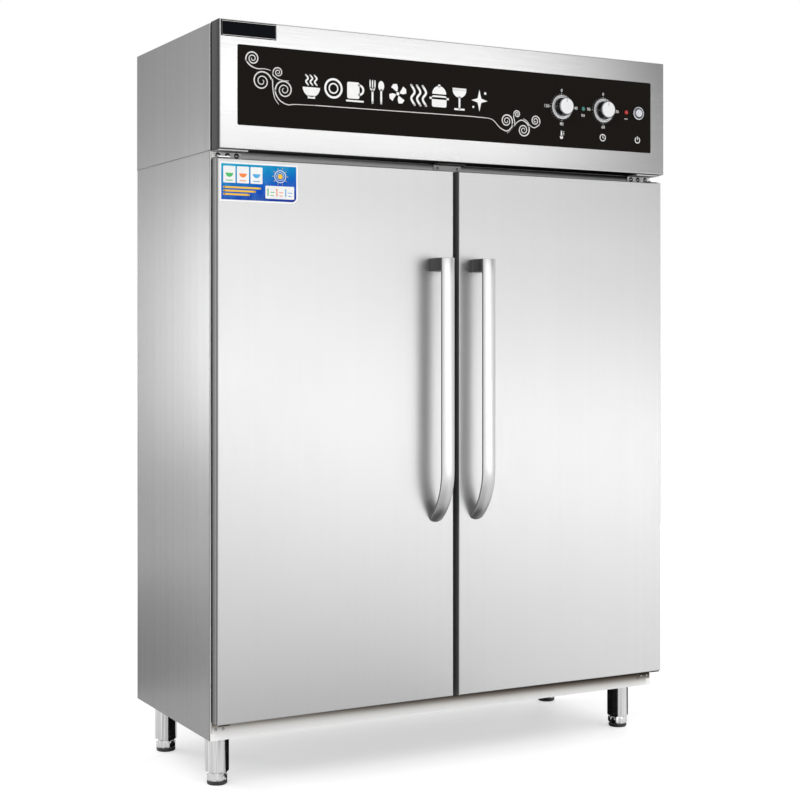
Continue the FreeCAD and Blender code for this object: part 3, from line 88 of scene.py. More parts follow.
class Paint:
    """A material being built: its node tree, its Principled shader and short ways to add nodes."""

    def __init__(self, name, colour, roughness, metallic=0.0, **sockets):
        self.material = bpy.data.materials.new(name)
        self.material.use_nodes = True
        self.tree = self.material.node_tree
        self.shader = self.tree.nodes["Principled BSDF"]
        self.set(self.shader, {"Base Color": (*rgb(colour), 1), "Roughness": roughness,
                               "Metallic": metallic, **sockets})
        self.material.diffuse_color = (*rgb(colour), 1)

    def set(self, node, values):
        for key, given in values.items():
            if isinstance(given, bpy.types.NodeSocket):
                self.tree.links.new(given, node.inputs[key])
            else:
                node.inputs[key].default_value = given

    def add(self, kind, values=None, **settings):
        node = self.tree.nodes.new("ShaderNode" + kind)
        for key, given in settings.items():
            setattr(node, key, given)
        self.set(node, values or {})
        return node

    def place(self):
        return self.add("TexCoord").outputs["Object"]

    def at(self, axis):
        """The place along one axis of the piece, in metres."""
        return self.add("SeparateXYZ", {0: self.place()}).outputs[axis]

    def noise(self, scale, detail, stretch=(1, 1, 1), roughness=0.55):
        """About scale spots to a metre; a stretch below 1 draws them out along that axis."""
        moved = self.add("Mapping", {"Vector": self.place(), "Scale": stretch})
        return self.add("TexNoise", {"Vector": moved.outputs[0], "Scale": scale,
                                     "Detail": detail, "Roughness": roughness}).outputs["Fac"]

    def math(self, operation, a, b=0.5, c=0.5):
        return self.add("Math", {0: a, 1: b, 2: c}, operation=operation).outputs[0]

    def span(self, source, low, high, from_low=0.0, from_high=1.0):
        return self.add("MapRange", {"Value": source, "From Min": from_low, "From Max": from_high,
                                     "To Min": low, "To Max": high}).outputs[0]

    def vary(self, noise, low, high):
        """From low to high over the middle of a noise, where nearly all of it lies."""
        return self.span(noise, low, high, 0.3, 0.7)

    def blend(self, factor, a, b, kind="MIX"):
        node = self.add("Mix", data_type="RGBA", blend_type=kind)
        for socket, given in (("Factor_Float", factor), ("A_Color", a), ("B_Color", b)):
            entry = next(s for s in node.inputs if s.identifier == socket)
            if isinstance(given, bpy.types.NodeSocket):
                self.tree.links.new(given, entry)
            else:
                entry.default_value = given if socket == "Factor_Float" else (*rgb(given), 1)
        return next(s for s in node.outputs if s.identifier == "Result_Color")

    def multiply(self, a, b):
        return self.blend(1.0, a, b, "MULTIPLY")

    def mottle(self, noise, colour, change):
        """The colour, darker and lighter by up to the change as the noise goes."""
        return self.blend(self.vary(noise, 0, 1), shade(colour, 1 - change),
                          shade(colour, 1 + change))

    def ramp(self, value, tones):
        """Tones over a value from 0 to 1, as (share, tone); the two ends come first."""
        ramp = self.add("ValToRGB", {0: value})
        steps = ramp.color_ramp.elements
        for k, (share, tone) in enumerate(tones):
            step = steps[k] if k < 2 else steps.new(share)
            step.position = share
            step.color = (*rgb(tone), 1)
        return ramp.outputs[0]

    def bump(self, height, strength, distance=0.0003):
        node = self.add("Bump", {"Height": height, "Strength": strength, "Distance": distance})
        self.set(self.shader, {"Normal": node.outputs[0]})

    def use(self, **values):
        self.set(self.shader, {key.replace("_", " "): given for key, given in values.items()})
        return self.material


FOLD_LIMIT = 0.85           # how squarely a face has to look along an axis to be a folded one
SEAM_HALF = 0.0014


def brushed(name, colour, stretch, roughness, streak, cloud, metallic=1.0, folds=(), seam=None,
            base=None):
    """Brushed sheet: stretch is small along the grain. folds lists (axis, sign, finish) for faces
    that look along that axis of the piece, where the sheet is folded back; there it is not
    metallic, and the finish is mostly painted shade or painted highlight. sign 0 takes both
    ways, and a finish is a colour or a function that gives one. seam is a height with a dark
    joint line, base a function whose tones multiply the whole sheet's: painted light and shade."""
    p = Paint(name, colour, roughness, metallic)
    fine = p.noise(900, 4, stretch, 0.7)
    broad = p.noise(70, 3, stretch)
    patches = p.noise(2.2, 2)
    mixed = p.math("MULTIPLY_ADD", fine, 0.4, p.math("MULTIPLY", broad, 0.6))
    tone = p.mottle(mixed, colour, streak)
    if base:
        tone = p.multiply(tone, base(p))
    tone = p.multiply(tone, p.add("CombineColor", {
        i: p.vary(patches, 1 - cloud, 1) for i in range(3)}).outputs[0])
    folded_face = None
    for axis, sign, finish in folds:
        looks = p.add("SeparateXYZ", {0: p.add("TexCoord").outputs["Normal"]}).outputs[axis]
        looks = p.math("MULTIPLY", looks, sign) if sign else p.math("ABSOLUTE", looks)
        there = p.math("GREATER_THAN", looks, FOLD_LIMIT)
        tone = p.blend(there, tone, finish(p) if callable(finish) else finish)
        folded_face = there if folded_face is None else p.math("MAXIMUM", folded_face, there)
    if folded_face is not None:
        p.use(Metallic=p.span(folded_face, metallic, 0.0), Specular_IOR_Level=p.span(folded_face, 0.5, 0.0))
    if seam:
        tone = p.blend(p.math("COMPARE", p.at("Z"), seam, SEAM_HALF), tone, 0.05)
    p.use(Base_Color=tone, Roughness=p.vary(fine, roughness - 0.04, roughness + 0.06))
    p.bump(fine, 0.06)
    return p.material


def along(axis, start, end, *tones):
    """Tones that run along one axis of the piece: (share of the way from start to end, tone)."""
    def finish(p):
        return p.ramp(p.span(p.at(axis), 0, 1, start, end), tones)
    return finish


def painted_shade_ramp(low, high, *tones, tilt, waver):
    """Painted shade up a face: tones as (share of height, tone). Their lines tilt and waver."""
    def finish(p):
        height = p.math("MULTIPLY_ADD", p.at("X"), tilt, p.at("Z"))
        height = p.math("MULTIPLY_ADD", p.noise(9, 2), waver, height)
        return p.ramp(p.span(height, 0, 1, low, high), tones)
    return finish


ALONG_X, ALONG_Z = (0.006, 1, 1), (1, 1, 0.006)                # the way the grain runs


def plastic(name, colour, roughness, grain=0.12, wear=0.1, **sockets):
    """Moulded plastic or paint: fine grain, and broad slight changes of tone."""
    p = Paint(name, colour, roughness, 0.0, **sockets)
    grit = p.noise(1400, 2)
    p.use(Base_Color=p.mottle(p.noise(25, 3), colour, wear),
          Roughness=p.vary(p.noise(60, 4), roughness * 0.85, roughness * 1.15))
    p.bump(grit, grain)
    return p.material


def polished(name, colour, roughness, streak=0.04, stretch=(1, 1, 1)):
    """Bright metal with faint wipe marks."""
    p = Paint(name, colour, roughness, 1.0)
    marks = p.noise(180, 4, stretch)
    p.use(Base_Color=p.mottle(marks, colour, streak),
          Roughness=p.vary(marks, roughness * 0.7, roughness * 1.4))
    p.bump(marks, 0.02)
    return p.material


def spangled(name, colour):
    """Galvanised sheet with crystal spangles."""
    p = Paint(name, colour, 0.42, 1.0)
    cells = p.add("TexVoronoi", {"Vector": p.place(), "Scale": 55.0})
    flake = p.add("SeparateColor", {0: cells.outputs["Color"]}).outputs[0]
    p.use(Base_Color=p.blend(flake, shade(colour, 0.86), shade(colour, 1.1)),
          Roughness=p.span(flake, 0.34, 0.5))
    p.bump(flake, 0.05)
    return p.material


def wool(name, colour):
    """Mineral wool: tangled fibres."""
    p = Paint(name, colour, 0.95)
    fibre = p.noise(160, 6, (1, 1, 0.3), 0.7)
    p.use(Base_Color=p.blend(fibre, shade(colour, 0.6), shade(colour, 1.15)))
    p.bump(fibre, 0.8, 0.002)
    return p.material


def stage_material(name, colour, extra):
    """The floor's own shaded colour, plus a plain amount that only camera and mirror rays see."""
    p = Paint(name, colour, 0.9)
    p.set(p.shader, {"Specular IOR Level": 0.0})
    mottle = p.noise(6, 3)
    p.use(Base_Color=p.blend(mottle, shade(colour, 0.985), colour))
    glow = p.add("Emission", {"Color": (1, 1, 1, 1),
                              "Strength": p.math("MULTIPLY", seen_rays(p.tree), extra)})
    both = p.add("AddShader", {0: p.shader.outputs[0], 1: glow.outputs[0]})
    p.tree.links.new(both.outputs[0], p.tree.nodes["Material Output"].inputs["Surface"])
    return p.material


# ---------------------------------------------------------------- light, floor and cards
world = bpy.data.worlds.new("studio")
scene.world = world
world.use_nodes = True
sky = world.node_tree
sky.nodes.clear()
strength = sky.nodes.new("ShaderNodeMapRange")
strength.inputs["To Min"].default_value = 0.72      # as a light
strength.inputs["To Max"].default_value = 1.0       # as it is seen
background = sky.nodes.new("ShaderNodeBackground")
background.inputs["Color"].default_value = (1, 1, 1, 1)
sky_output = sky.nodes.new("ShaderNodeOutputWorld")
sky.links.new(seen_rays(sky), strength.inputs["Value"])
sky.links.new(strength.outputs[0], background.inputs["Strength"])
sky.links.new(background.outputs[0], sky_output.inputs["Surface"])


def lamp(name, location, target, size, power, glossy=True, turn=0.0):
    light = bpy.data.lights.new(name, "AREA")
    light.shape = "RECTANGLE"
    light.size, light.size_y = size
    light.energy = power
    obj = bpy.data.objects.new(name, light)
    scene.collection.objects.link(obj)
    obj.location = location
    obj.rotation_euler = (Vector(target) - obj.location).to_track_quat("-Z", "Y").to_euler()
    if turn:
        obj.rotation_euler.rotate_axis("Z", turn)
    obj.visible_camera = False
    obj.visible_glossy = glossy


STRIP_TURN = math.radians(-11.4)
lamp("key", (-2.6, -3.2, 4.2), (0, 0, 1.0), (2.4, 2.4), 60, glossy=False)
lamp("fill", (3.4, -3.0, 3.2), (0, 0, 0.9), (2.5, 2.5), 22, glossy=False)
lamp("door_strip", (3.45, -5.0, 0.45), (3.45, 0, 0.45), (6.3, 1.1), 47, turn=STRIP_TURN)
lamp("right_door_strip", (5.3, -5.0, -0.02), (5.3, 0, -0.02), (2.8, 1.3), 24, turn=STRIP_TURN)
lamp("fascia_strip", (1.85, -5.0, 2.6), (1.85, 0, 2.6), (4.1, 0.75), 22)
lamp("front_strip", (-0.5, -5.2, 1.3), (-0.1, 0, 1.3), (1.0, 2.6), 9)
lamp("left_strip", (-3.65, 4.0, 1.2), (-0.675, 0, 1.15), (1.7, 1.3), 57)
lamp("right_strip", (3.65, 4.0, 1.2), (0.675, 0, 1.15), (1.7, 1.3), 57)


SHARP = 32.0                                # faces that meet at a wider angle show an edge


def mesh_object(name, bm, material, sharp=SHARP):
    bmesh.ops.recalc_face_normals(bm, faces=bm.faces)
    mesh = bpy.data.meshes.new(name)
    bm.to_mesh(mesh)
    bm.free()
    for entry in material if isinstance(material, list) else [material]:
        mesh.materials.append(entry)
    for polygon in mesh.polygons:
        polygon.use_smooth = True
    mesh.set_sharp_from_angle(angle=math.radians(sharp))
    obj = bpy.data.objects.new(name, mesh)
    scene.collection.objects.link(obj)
    return obj


floor_mesh = bmesh.new()
bmesh.ops.create_circle(floor_mesh, cap_ends=True, segments=96, radius=400)
mesh_object("floor", floor_mesh, stage_material("pale_floor", 0.8, 0.46))


def card(name, corners, grey, extra=0.0):
    """A flag beside the set that only mirror-like surfaces see: a painted reflection."""
    bm = bmesh.new()
    bm.faces.new([bm.verts.new(corner) for corner in corners])
    obj = mesh_object(name, bm, stage_material(name + "_cloth", grey, extra))
    obj.visible_camera = False
    obj.visible_diffuse = False
    obj.visible_shadow = False
    obj.visible_transmission = False


def floor_card(name, height, outline, grey, extra=0.0):
    card(name, [(x, y, height) for x, y in outline], grey, extra)


# Painted reflections on the floor that only mirrors see: the dark sheet under the cabinet stands in
# for its shadow, the grey ones dim the floor round it, and the dark one by the right leg darkens
# that leg's edge.
floor_card("under_flag", 0.002, [(-0.622, -0.131), (-0.2, -0.40), (0.12, -0.50), (0.45, -0.42),
                                 (0.622, -0.131), (0.622, 0.238), (-0.622, 0.238)], 0.02)
floor_card("front_flag", 0.0015, [(-0.8, -1.6), (0.55, -1.6), (0.2, -0.34), (-0.65, -0.34)],
           0.5, 0.38)
for side in (-1, 1):
    floor_card(f"side_flag_{side + 1}", 0.0015,
               [(side * x, y) for x, y in ((2.1, 3.2), (0.75, 3.2), (0.75, 0.95), (1.5, 0.95))],
               0.42, 0.32)
floor_card("leg_flag", 0.001, [(0.66, -0.15), (1.3, -0.2), (1.3, 0.8), (0.72, 0.3)], 0.02)
card("fascia_flag", [(4.0, -5.05, 2.5), (7.0, -4.0, 2.5), (7.0, -4.0, 4.2), (4.0, -5.05, 4.2)],
     0.2)

# ---------------------------------------------------------------- materials
DOOR_LOW, DOOR_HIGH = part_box("door_left_skin")
HEAD_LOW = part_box("head_fascia")[0]
CARCASS_LOW, CARCASS_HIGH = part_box("side_panel_left")
DOOR_FOLD, HEAD_FOLD = 0.042, 0.062         # how far their folded ends run back
SEAM = 1.585                                # the joint line across the side panels
# Painted highlight and shade across the doors' folded ends: dark lines at the front and the back,
# where the gap's shade falls, lighter bands between.
outer_edge_shading = along("Y", DOOR_LOW.y, DOOR_LOW.y + DOOR_FOLD, (0.0, 0.03), (1.0, 0.006),
                   (0.08, 0.04), (0.17, 0.33), (0.42, 0.33), (0.5, 0.21), (0.62, 0.235),
                   (0.74, 0.20), (0.79, 0.012))
# Painted shade on the fascia's folded ends, near black at the back where the gap's shade falls.
head_edge_shade = along("Y", HEAD_LOW.y, HEAD_LOW.y + HEAD_FOLD, (0.0, 0.056), (1.0, 0.003),
                  (0.15, 0.077), (0.4, 0.108), (0.8, 0.113), (0.84, 0.004))


def door_edge(p):
    """The folded edge: painted highlight and shade outside, darker low down as painted shade; plain
    dark where the doors meet, painted shade for their gap.
    """
    outside = p.multiply(outer_edge_shading(p), along("Z", 0.4, 0.96, (0.0, 0.85), (1.0, 1.0))(p))
    at_the_end = p.math("GREATER_THAN", p.math("ABSOLUTE", p.at("X")), 0.3)
    return p.blend(at_the_end, (0.13, 0.13, 0.132), outside)


def under_head_shade(p):
    """The underside of the head: painted near black as shade, a little lighter towards its left
    end.
    """
    return p.blend(p.span(p.at("X"), 0, 1, -0.66, 0.25), (0.05, 0.05, 0.051), 0.004)


# Painted shadow of the doors on the sill, darkest just under them.
sill_shadow = painted_shade_ramp(DOOR_LOW.z - 0.049, DOOR_LOW.z - 0.004, (0.0, (0.97, 0.97, 0.965)),
                    (1.0, (0.04, 0.031, 0.024)), (0.28, (0.87, 0.865, 0.85)),
                    (0.43, (0.74, 0.725, 0.70)), (0.56, (0.52, 0.50, 0.47)),
                    (0.62, (0.37, 0.345, 0.315)), (0.69, (0.28, 0.25, 0.225)),
                    (0.75, (0.19, 0.163, 0.14)), (0.84, (0.10, 0.085, 0.07)),
                    (0.92, (0.04, 0.031, 0.024)), tilt=0.011, waver=0.002)
# Painted shade on the head rail, darkest under the head.
rail_shade = painted_shade_ramp(DOOR_HIGH.z + 0.004, HEAD_LOW.z, (0.0, 0.95), (1.0, 0.01), (0.28, 0.90),
                    (0.48, 0.55), (0.70, 0.18), (0.85, 0.045), tilt=0.008, waver=0.001)
# Painted shade: the handle darker towards its lower end.
grip_shade = painted_shade_ramp(0.60, 0.82, (0.0, 0.28), (1.0, 1.0), (0.55, 0.80), tilt=0, waver=0.04)


def door_shading(p):
    """The doors' sheet: painted light and shade, a little brighter towards the right-hand end, a
    little duller on top.
    """
    return p.multiply(along("X", 0.06, 0.6, (0.0, 0.909), (1.0, 1.0))(p),
                      along("Z", 1.38, 1.5, (0.0, 1.0), (1.0, 0.94))(p))


def catch_colour_and_shade(p):
    """The catch: a grey plate, with its tongue in front of it painted dark as the head's shade."""
    plate = p.math("GREATER_THAN", p.at("Y"), CARCASS_LOW.y - 0.005)
    return p.blend(plate, 0.12, (0.70, 0.70, 0.69))


def bracket_colour_and_shadow(p):
    """Pale plates; the lower pair carries the doors' painted shadow like the sill under it."""
    upper = p.math("GREATER_THAN", p.at("Z"), 1.0)
    return p.blend(upper, sill_shadow(p), (0.97, 0.97, 0.96))


paint = {
    # Side sheet: its front fold painted near white as a highlight, the sheet darker towards the
    # back as painted shade; a dark joint line at the seam.
    "brushed_panel": brushed("side_sheet", 0.225, ALONG_Z, 0.3, 0.09, 0.05,
                             folds=[("Y", -1, (0.95, 0.95, 0.94))], seam=SEAM,
                             base=along("Y", -0.2, 0.32, (0.0, 0.97), (1.0, 0.74))),
    # Doors: edges painted as highlight and shade, with painted shade in the gaps; undersides
    # painted dark as shade; painted light and shade across the sheet.
    "satin_door": brushed("door_sheet", 0.484, ALONG_Z, 0.33, 0.015, 0.015,
                          folds=[("X", 0, door_edge), ("Z", -1, 0.12)], base=door_shading),
    # Fascia: darker towards its right-hand end as painted shade; its ends and underside painted
    # dark as shade, near black at the back.
    "fascia_steel": brushed("fascia_sheet", 0.43, ALONG_X, 0.22, 0.012, 0.01,
                            base=along("X", 0.1, 0.67, (0.0, 1.0), (1.0, 0.78)),
                            folds=[("X", 0, head_edge_shade), ("Z", -1, under_head_shade)]),
    "frame_steel": brushed("frame_sheet", (0.74, 0.725, 0.70), ALONG_X, 0.5, 0.03, 0.06, 0.25),
    "liner_steel": brushed("liner_sheet", (0.50, 0.505, 0.51), ALONG_Z, 0.3, 0.05, 0.05, 0.75),
    "galvanised": spangled("zinc_sheet", (0.27, 0.275, 0.28)),
    "bright_steel": polished("bright_metal", 0.55, 0.12, 0.32, (1, 1, 0.02)),
    "rack_steel": polished("rack_metal", 0.52, 0.22),
    "motor_metal": polished("cast_metal", 0.5, 0.4, 0.1),
    "black_overlay": plastic("overlay_black", (0.0085, 0.007, 0.0055), 0.4, 0.01, 0.02,
                             **{"Specular IOR Level": 0.02}),
    "silver_knob": polished("knob_silver", (0.62, 0.62, 0.63), 0.3),
    "dark_block": brushed("block_dark", (0.085, 0.085, 0.088), (1, 1, 0.03), 0.4, 0.35, 0.1, 0.6),
    "green_lens": plastic("lens_green", (0.001, 0.13, 0.105), 0.2, 0.0, 0.05),
    "red_lens": plastic("lens_red", (0.40, 0.014, 0.011), 0.2, 0.0, 0.05),
    "button_plastic": plastic("button_white", (0.56, 0.57, 0.61), 0.25, 0.02, 0.03),
    "electric_housing": plastic("housing_grey", (0.06, 0.06, 0.065), 0.5),
    "mineral_wool": wool("wool_yellow", (0.62, 0.56, 0.38)),
    "gasket_rubber": plastic("seal_rubber", 0.02, 0.6, 0.2),
    "bush_nylon": plastic("nylon_natural", (0.8, 0.79, 0.74), 0.4),
    "gland_plastic": plastic("gland_black", (0.02, 0.02, 0.021), 0.35),
}
# Brackets: pale faces with the doors' painted shadow on the lower pair; undersides painted darker
# as shade, ends darker too.
bracket_steel = brushed("bracket_sheet", (0.85, 0.85, 0.84), ALONG_X, 0.45, 0.03, 0.03, 0.1,
                        folds=[("Y", -1, bracket_colour_and_shadow), ("Z", -1, 0.32), ("X", 0, 0.3)])
# Handle: sides painted dark and back painted near white, as painted shade and light for it and its
# reflection in the door; darker towards its lower end, painted shade.
handle_steel = brushed("handle_sheet", 0.57, ALONG_Z, 0.33, 0.05, 0.02,
                       folds=[("X", 0, 0.17), ("Y", 1, 0.95)], base=grip_shade)
# Sill: the doors' painted shadow across its face.
sill_steel = brushed("sill_sheet", (0.74, 0.725, 0.70), ALONG_X, 0.5, 0.03, 0.04, 0.2,
                     folds=[("Y", -1, sill_shadow)])
# Head rail and frame: a darker copy of the frame sheet, painted shade under the head, with painted
# shade up its face and a near-black underside.
rail_steel = brushed("rail_sheet", (0.33, 0.33, 0.325), ALONG_X, 0.5, 0.04, 0.04, 0.3,
                     folds=[("Y", -1, rail_shade), ("Z", -1, under_head_shade)])
# Catch: its tongue and underside painted dark as the head's shade.
catch_steel = brushed("catch_sheet", 0.3, ALONG_X, 0.45, 0.03, 0.05, 0.3,
                      folds=[("Y", -1, catch_colour_and_shade), ("Z", -1, 0.05)])
DRESSED = {"hinge_brackets": bracket_steel, "catch_plate": catch_steel,
           "front_sill": sill_steel, "head_rail": rail_steel, "head_front_frame": rail_steel}
ink = plastic("ink_white", (0.78, 0.78, 0.77), 0.5, 0.0, 0.04)
silver_ink = plastic("ink_silver", (0.62, 0.61, 0.59), 0.5, 0.0, 0.06)
# Black for the knobs' pointer lines and the rings round the screws, and painted shade in the knobs'
# grooves, the switch bezel's inner wall and the screws' crosses.
mark_and_recess_shade = plastic("black_mark_and_recess_shade", 0.01, 0.7)
rubber = plastic("foot_rubber", 0.015, 0.55, 0.3)
matt_black = plastic("badge_black", (0.005, 0.0055, 0.007), 0.4, 0.02,
                     **{"Specular IOR Level": 0.01})

for entry in frame["record"]["subparts"]:
    obj = nodes[entry["node"]]
    obj.data.materials.clear()
    obj.data.materials.append(DRESSED.get(entry["node"], paint[entry["material_slot"]]))


# ---------------------------------------------------------------- shapes
def piece(name, bm, material, body, replaces=(), sharp=SHARP):
    obj = mesh_object(name, bm, material, sharp)
    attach(obj, body)
    if replaces:
        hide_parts(*replaces)


FACING = {
    "front": Matrix(((1, 0, 0), (0, 0, -1), (0, 1, 0))),
    "back": Matrix(((-1, 0, 0), (0, 0, 1), (0, 1, 0))),
    "up": Matrix(((1, 0, 0), (0, 1, 0), (0, 0, 1))),
    "down": Matrix(((1, 0, 0), (0, -1, 0), (0, 0, -1))),
}


def lathe(bm, profile, centre, facing, segments, index=0, flute=None):
    """Revolve (height, radius) pairs, in mm, about an axis through centre. flute gives a factor
    on the radius from the angle, height and radius; index is the material's."""
    turn = FACING[facing]
    rings = []
    for height, radius in profile:
        if radius < 1e-6:
            spot = turn @ Vector((0, 0, height * MM)) + centre
            rings.append([bm.verts.new(spot)])
            continue
        row = []
        for k in range(segments):
            angle = 2 * math.pi * k / segments
            r = radius * (flute(angle, height, radius) if flute else 1) * MM
            spot = Vector((r * math.cos(angle), r * math.sin(angle), height * MM))
            row.append(bm.verts.new(turn @ spot + centre))
        rings.append(row)
    for low, high in zip(rings, rings[1:]):
        for k in range(segments):
            following = (k + 1) % segments
            loop = [low[k % len(low)], low[following % len(low)],
                    high[following % len(high)], high[k % len(high)]]
            loop = [v for i, v in enumerate(loop) if v not in loop[:i]]
            if len(loop) > 2:
                bm.faces.new(loop).material_index = index


def bevelled_box(bm, low, high, radius):
    """A box with rounded edges; the corners are in metres."""
    low, high = Vector(low), Vector(high)
    made = bmesh.ops.create_cube(bm, size=1.0)["verts"]
    for vert in made:
        vert.co = Vector([(low[i] + high[i]) / 2 + vert.co[i] * (high[i] - low[i])
                          for i in range(3)])
    edges = {edge for vert in made for edge in vert.link_edges}
    bmesh.ops.bevel(bm, geom=list(edges), offset=radius, segments=3, profile=0.5,
                    affect="EDGES")


FONT_SIZE = 1.38            # size of the letters' square for figures of height 1


class Print:
    """Flat printed shapes on a plane that faces -Y, drawn in mm of x and z."""

    def __init__(self, y, thickness=0.15):
        self.bm = bmesh.new()
        self.y = y * MM
        self.thickness = thickness * MM

    def shape(self, points):
        verts = [self.bm.verts.new((x * MM, self.y - self.thickness, z * MM)) for x, z in points]
        self.bm.faces.new(verts)

    def disc(self, x, z, radius, count=40, start=0.0, turn=2 * math.pi):
        full = turn >= 2 * math.pi - 1e-6
        steps = count if full else count + 1
        self.shape([(x + radius * math.cos(start + turn * k / count),
                     z + radius * math.sin(start + turn * k / count)) for k in range(steps)])

    def box(self, x0, z0, x1, z1, radius=0.0):
        if not radius:
            self.shape([(x0, z0), (x1, z0), (x1, z1), (x0, z1)])
            return
        points = []
        for cx, cz, quarter in ((x1 - radius, z0 + radius, 3), (x1 - radius, z1 - radius, 0),
                                (x0 + radius, z1 - radius, 1), (x0 + radius, z0 + radius, 2)):
            for k in range(7):
                angle = math.pi / 2 * (quarter + k / 6)
                points.append((cx + radius * math.cos(angle), cz + radius * math.sin(angle)))
        self.shape(points)

    def line(self, points, start, end=None, closed=False, ends=True):
        """A stroke through the points whose width runs from start to end."""
        end = start if end is None else end
        count = len(points)
        left, right = [], []
        for k, (x, z) in enumerate(points):
            before = points[k - 1] if k or closed else points[k]
            after = points[(k + 1) % count] if k < count - 1 or closed else points[k]
            dx, dz = after[0] - before[0], after[1] - before[1]
            size = math.hypot(dx, dz) or 1.0
            half = (start + (end - start) * k / max(count - 1, 1)) / 2
            left.append((x - dz / size * half, z + dx / size * half))
            right.append((x + dz / size * half, z - dx / size * half))
        for k in range(count if closed else count - 1):
            j = (k + 1) % count
            self.shape([left[k], right[k], right[j], left[j]])
        if ends and not closed:
            for (x, z), wide in ((points[0], start), (points[-1], end)):
                self.disc(x, z, wide / 2, 16)

    def ring(self, x, z, radius, width):
        angles = [2 * math.pi * k / 48 for k in range(48)]
        self.line([(x + radius * math.cos(a), z + radius * math.sin(a)) for a in angles], width,
                  closed=True)

    def text(self, words, x, z, height):
        """Plain upright numbers, centred on x and z."""
        curve = bpy.data.curves.new("words", "FONT")
        curve.body = words
        curve.size = height * FONT_SIZE * MM
        curve.align_x, curve.align_y = "CENTER", "CENTER"
        curve.resolution_u = 3
        holder = bpy.data.objects.new("words", curve)
        scene.collection.objects.link(holder)
        bpy.context.view_layer.update()
        flat = bpy.data.meshes.new_from_object(
            holder.evaluated_get(bpy.context.evaluated_depsgraph_get()))
        flat.transform(Matrix.Translation((x * MM, self.y - self.thickness, z * MM))
                       @ FACING["front"].to_4x4())
        self.bm.from_mesh(flat)
        bpy.data.objects.remove(holder)
        bpy.data.curves.remove(curve)
        bpy.data.meshes.remove(flat)

    def finish(self, name, material, body):
        made = bmesh.ops.extrude_face_region(self.bm, geom=list(self.bm.faces))
        for entry in made["geom"]:
            if isinstance(entry, bmesh.types.BMVert):
                entry.co.y += self.thickness
        piece(name, self.bm, material, body)


CURVE_STEPS, SPIRAL_STEPS = 8, 60


def smooth_path(points):
    """Points on a Catmull-Rom curve through the given ones."""
    made = []
    last = len(points) - 1
    for k in range(last):
        p = [points[min(max(k + i, 0), last)] for i in (-1, 0, 1, 2)]
        for s in range(CURVE_STEPS):
            t = s / CURVE_STEPS
            weights = (-t ** 3 + 2 * t ** 2 - t, 3 * t ** 3 - 5 * t ** 2 + 2,
                       -3 * t ** 3 + 4 * t ** 2 + t, t ** 3 - t ** 2)
            made.append(tuple(sum(w * q[a] for w, q in zip(weights, p)) / 2 for a in (0, 1)))
    made.append(points[-1])
    return made


def spiral(x, z, outer, inner, turns, start, way):
    """Points of a scroll from its outside in; start is an angle in degrees, way is +1 or -1."""
    made = []
    for k in range(SPIRAL_STEPS + 1):
        t = k / SPIRAL_STEPS
        radius = outer + (inner - outer) * t ** 0.8
        angle = math.radians(start) + way * 2 * math.pi * turns * t
        made.append((x + radius * math.cos(angle), z + radius * math.sin(angle)))
    return made


# ---------------------------------------------------------------- control strip
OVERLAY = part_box("control_overlay")[0].y / MM
scrolls = Print(OVERLAY)


def scroll(tail, x, z, outer, turns, start, way, wide=3.6):
    """A tail that runs into a winding scroll."""
    winding = spiral(x, z, outer, outer * 0.16, turns, start, way)
    run = smooth_path(tail + [winding[0]])[:-1]
    scrolls.line(run, 1.4, wide)
    scrolls.line(winding, wide, 1.8)


scroll([(-540, 1783), (-556, 1786), (-576, 1785), (-594, 1791)], -588, 1809, 19, 2.1, 200, -1)
scroll([(-518, 1701), (-529, 1716), (-534, 1738), (-535, 1760)], -564, 1755, 27, 2.1, 10, 1)
scroll([(-491, 1761), (-506, 1761), (-521, 1764), (-533, 1772)], -520, 1780, 14, 1.9, 190, -1, 3)
scroll([(-420, 1705.5), (-474, 1704), (-495, 1702), (-515, 1711), (-526, 1726)],
       -503, 1738, 25, 2.2, 187, -1)
scrolls.line([(-420, 1705.5), (34, 1708.5), (84, 1707.5)], 2.0)
scroll([(84, 1707.5), (98, 1706), (110, 1700), (128, 1684), (149, 1677), (164, 1688)],
       148, 1704, 19.5, 2.1, -25, 1)
scroll([(152, 1673), (168, 1686), (174, 1700), (171, 1714)], 181.5, 1724, 11, 1.9, 185, -1, 3)
scroll([(150, 1671), (166, 1684), (180, 1701), (196, 1709), (212, 1702)],
       202, 1683, 19.5, 2.1, 30, -1)
scroll([(201, 1713), (212, 1708), (222, 1697), (236, 1691), (250, 1698)],
       240, 1710, 15.5, 2.0, -30, 1, 3.2)
scrolls.finish("panel_scrolls", silver_ink, "cabinet")

marks = Print(OVERLAY)
PITCH, FIRST, LEVEL, BOLD = 61.5, -429.0, 1752.0, 5.5


def icon_at(k):
    return FIRST + PITCH * k, LEVEL


def wave(x, z, height, width, sway):
    marks.line(smooth_path([(x + sway * (-1) ** i, z + height * (i / 3 - 0.5))
                            for i in range(4)]), width)


cx, cz = icon_at(0)                                            # a steaming bowl
marks.disc(cx, cz - 2, 24, 32, math.pi, math.pi)
marks.box(cx - 10, cz - 30, cx + 10, cz - 23)
for shift in (-12, 0, 12):
    wave(cx + shift, cz + 16, 24, 4.2, 3)
cx, cz = icon_at(1)                                            # a plate
marks.ring(cx, cz, 23, BOLD)
marks.ring(cx, cz, 12, 3.5)
cx, cz = icon_at(2)                                            # a cup
marks.box(cx - 23, cz - 22, cx + 12, cz + 20, 5)
marks.line([(cx + 11 + 12 * math.cos(a), cz + 1 + 12 * math.sin(a)) for a in
            [math.pi * (k / 12 - 0.5) for k in range(13)]], BOLD)
marks.box(cx - 26, cz - 30, cx + 24, cz - 25.5)
cx, cz = icon_at(3)                                            # a fork and a spoon
for prong in (-19, -12, -5):
    marks.line([(cx + prong, cz + 28), (cx + prong, cz + 10)], 3.6)
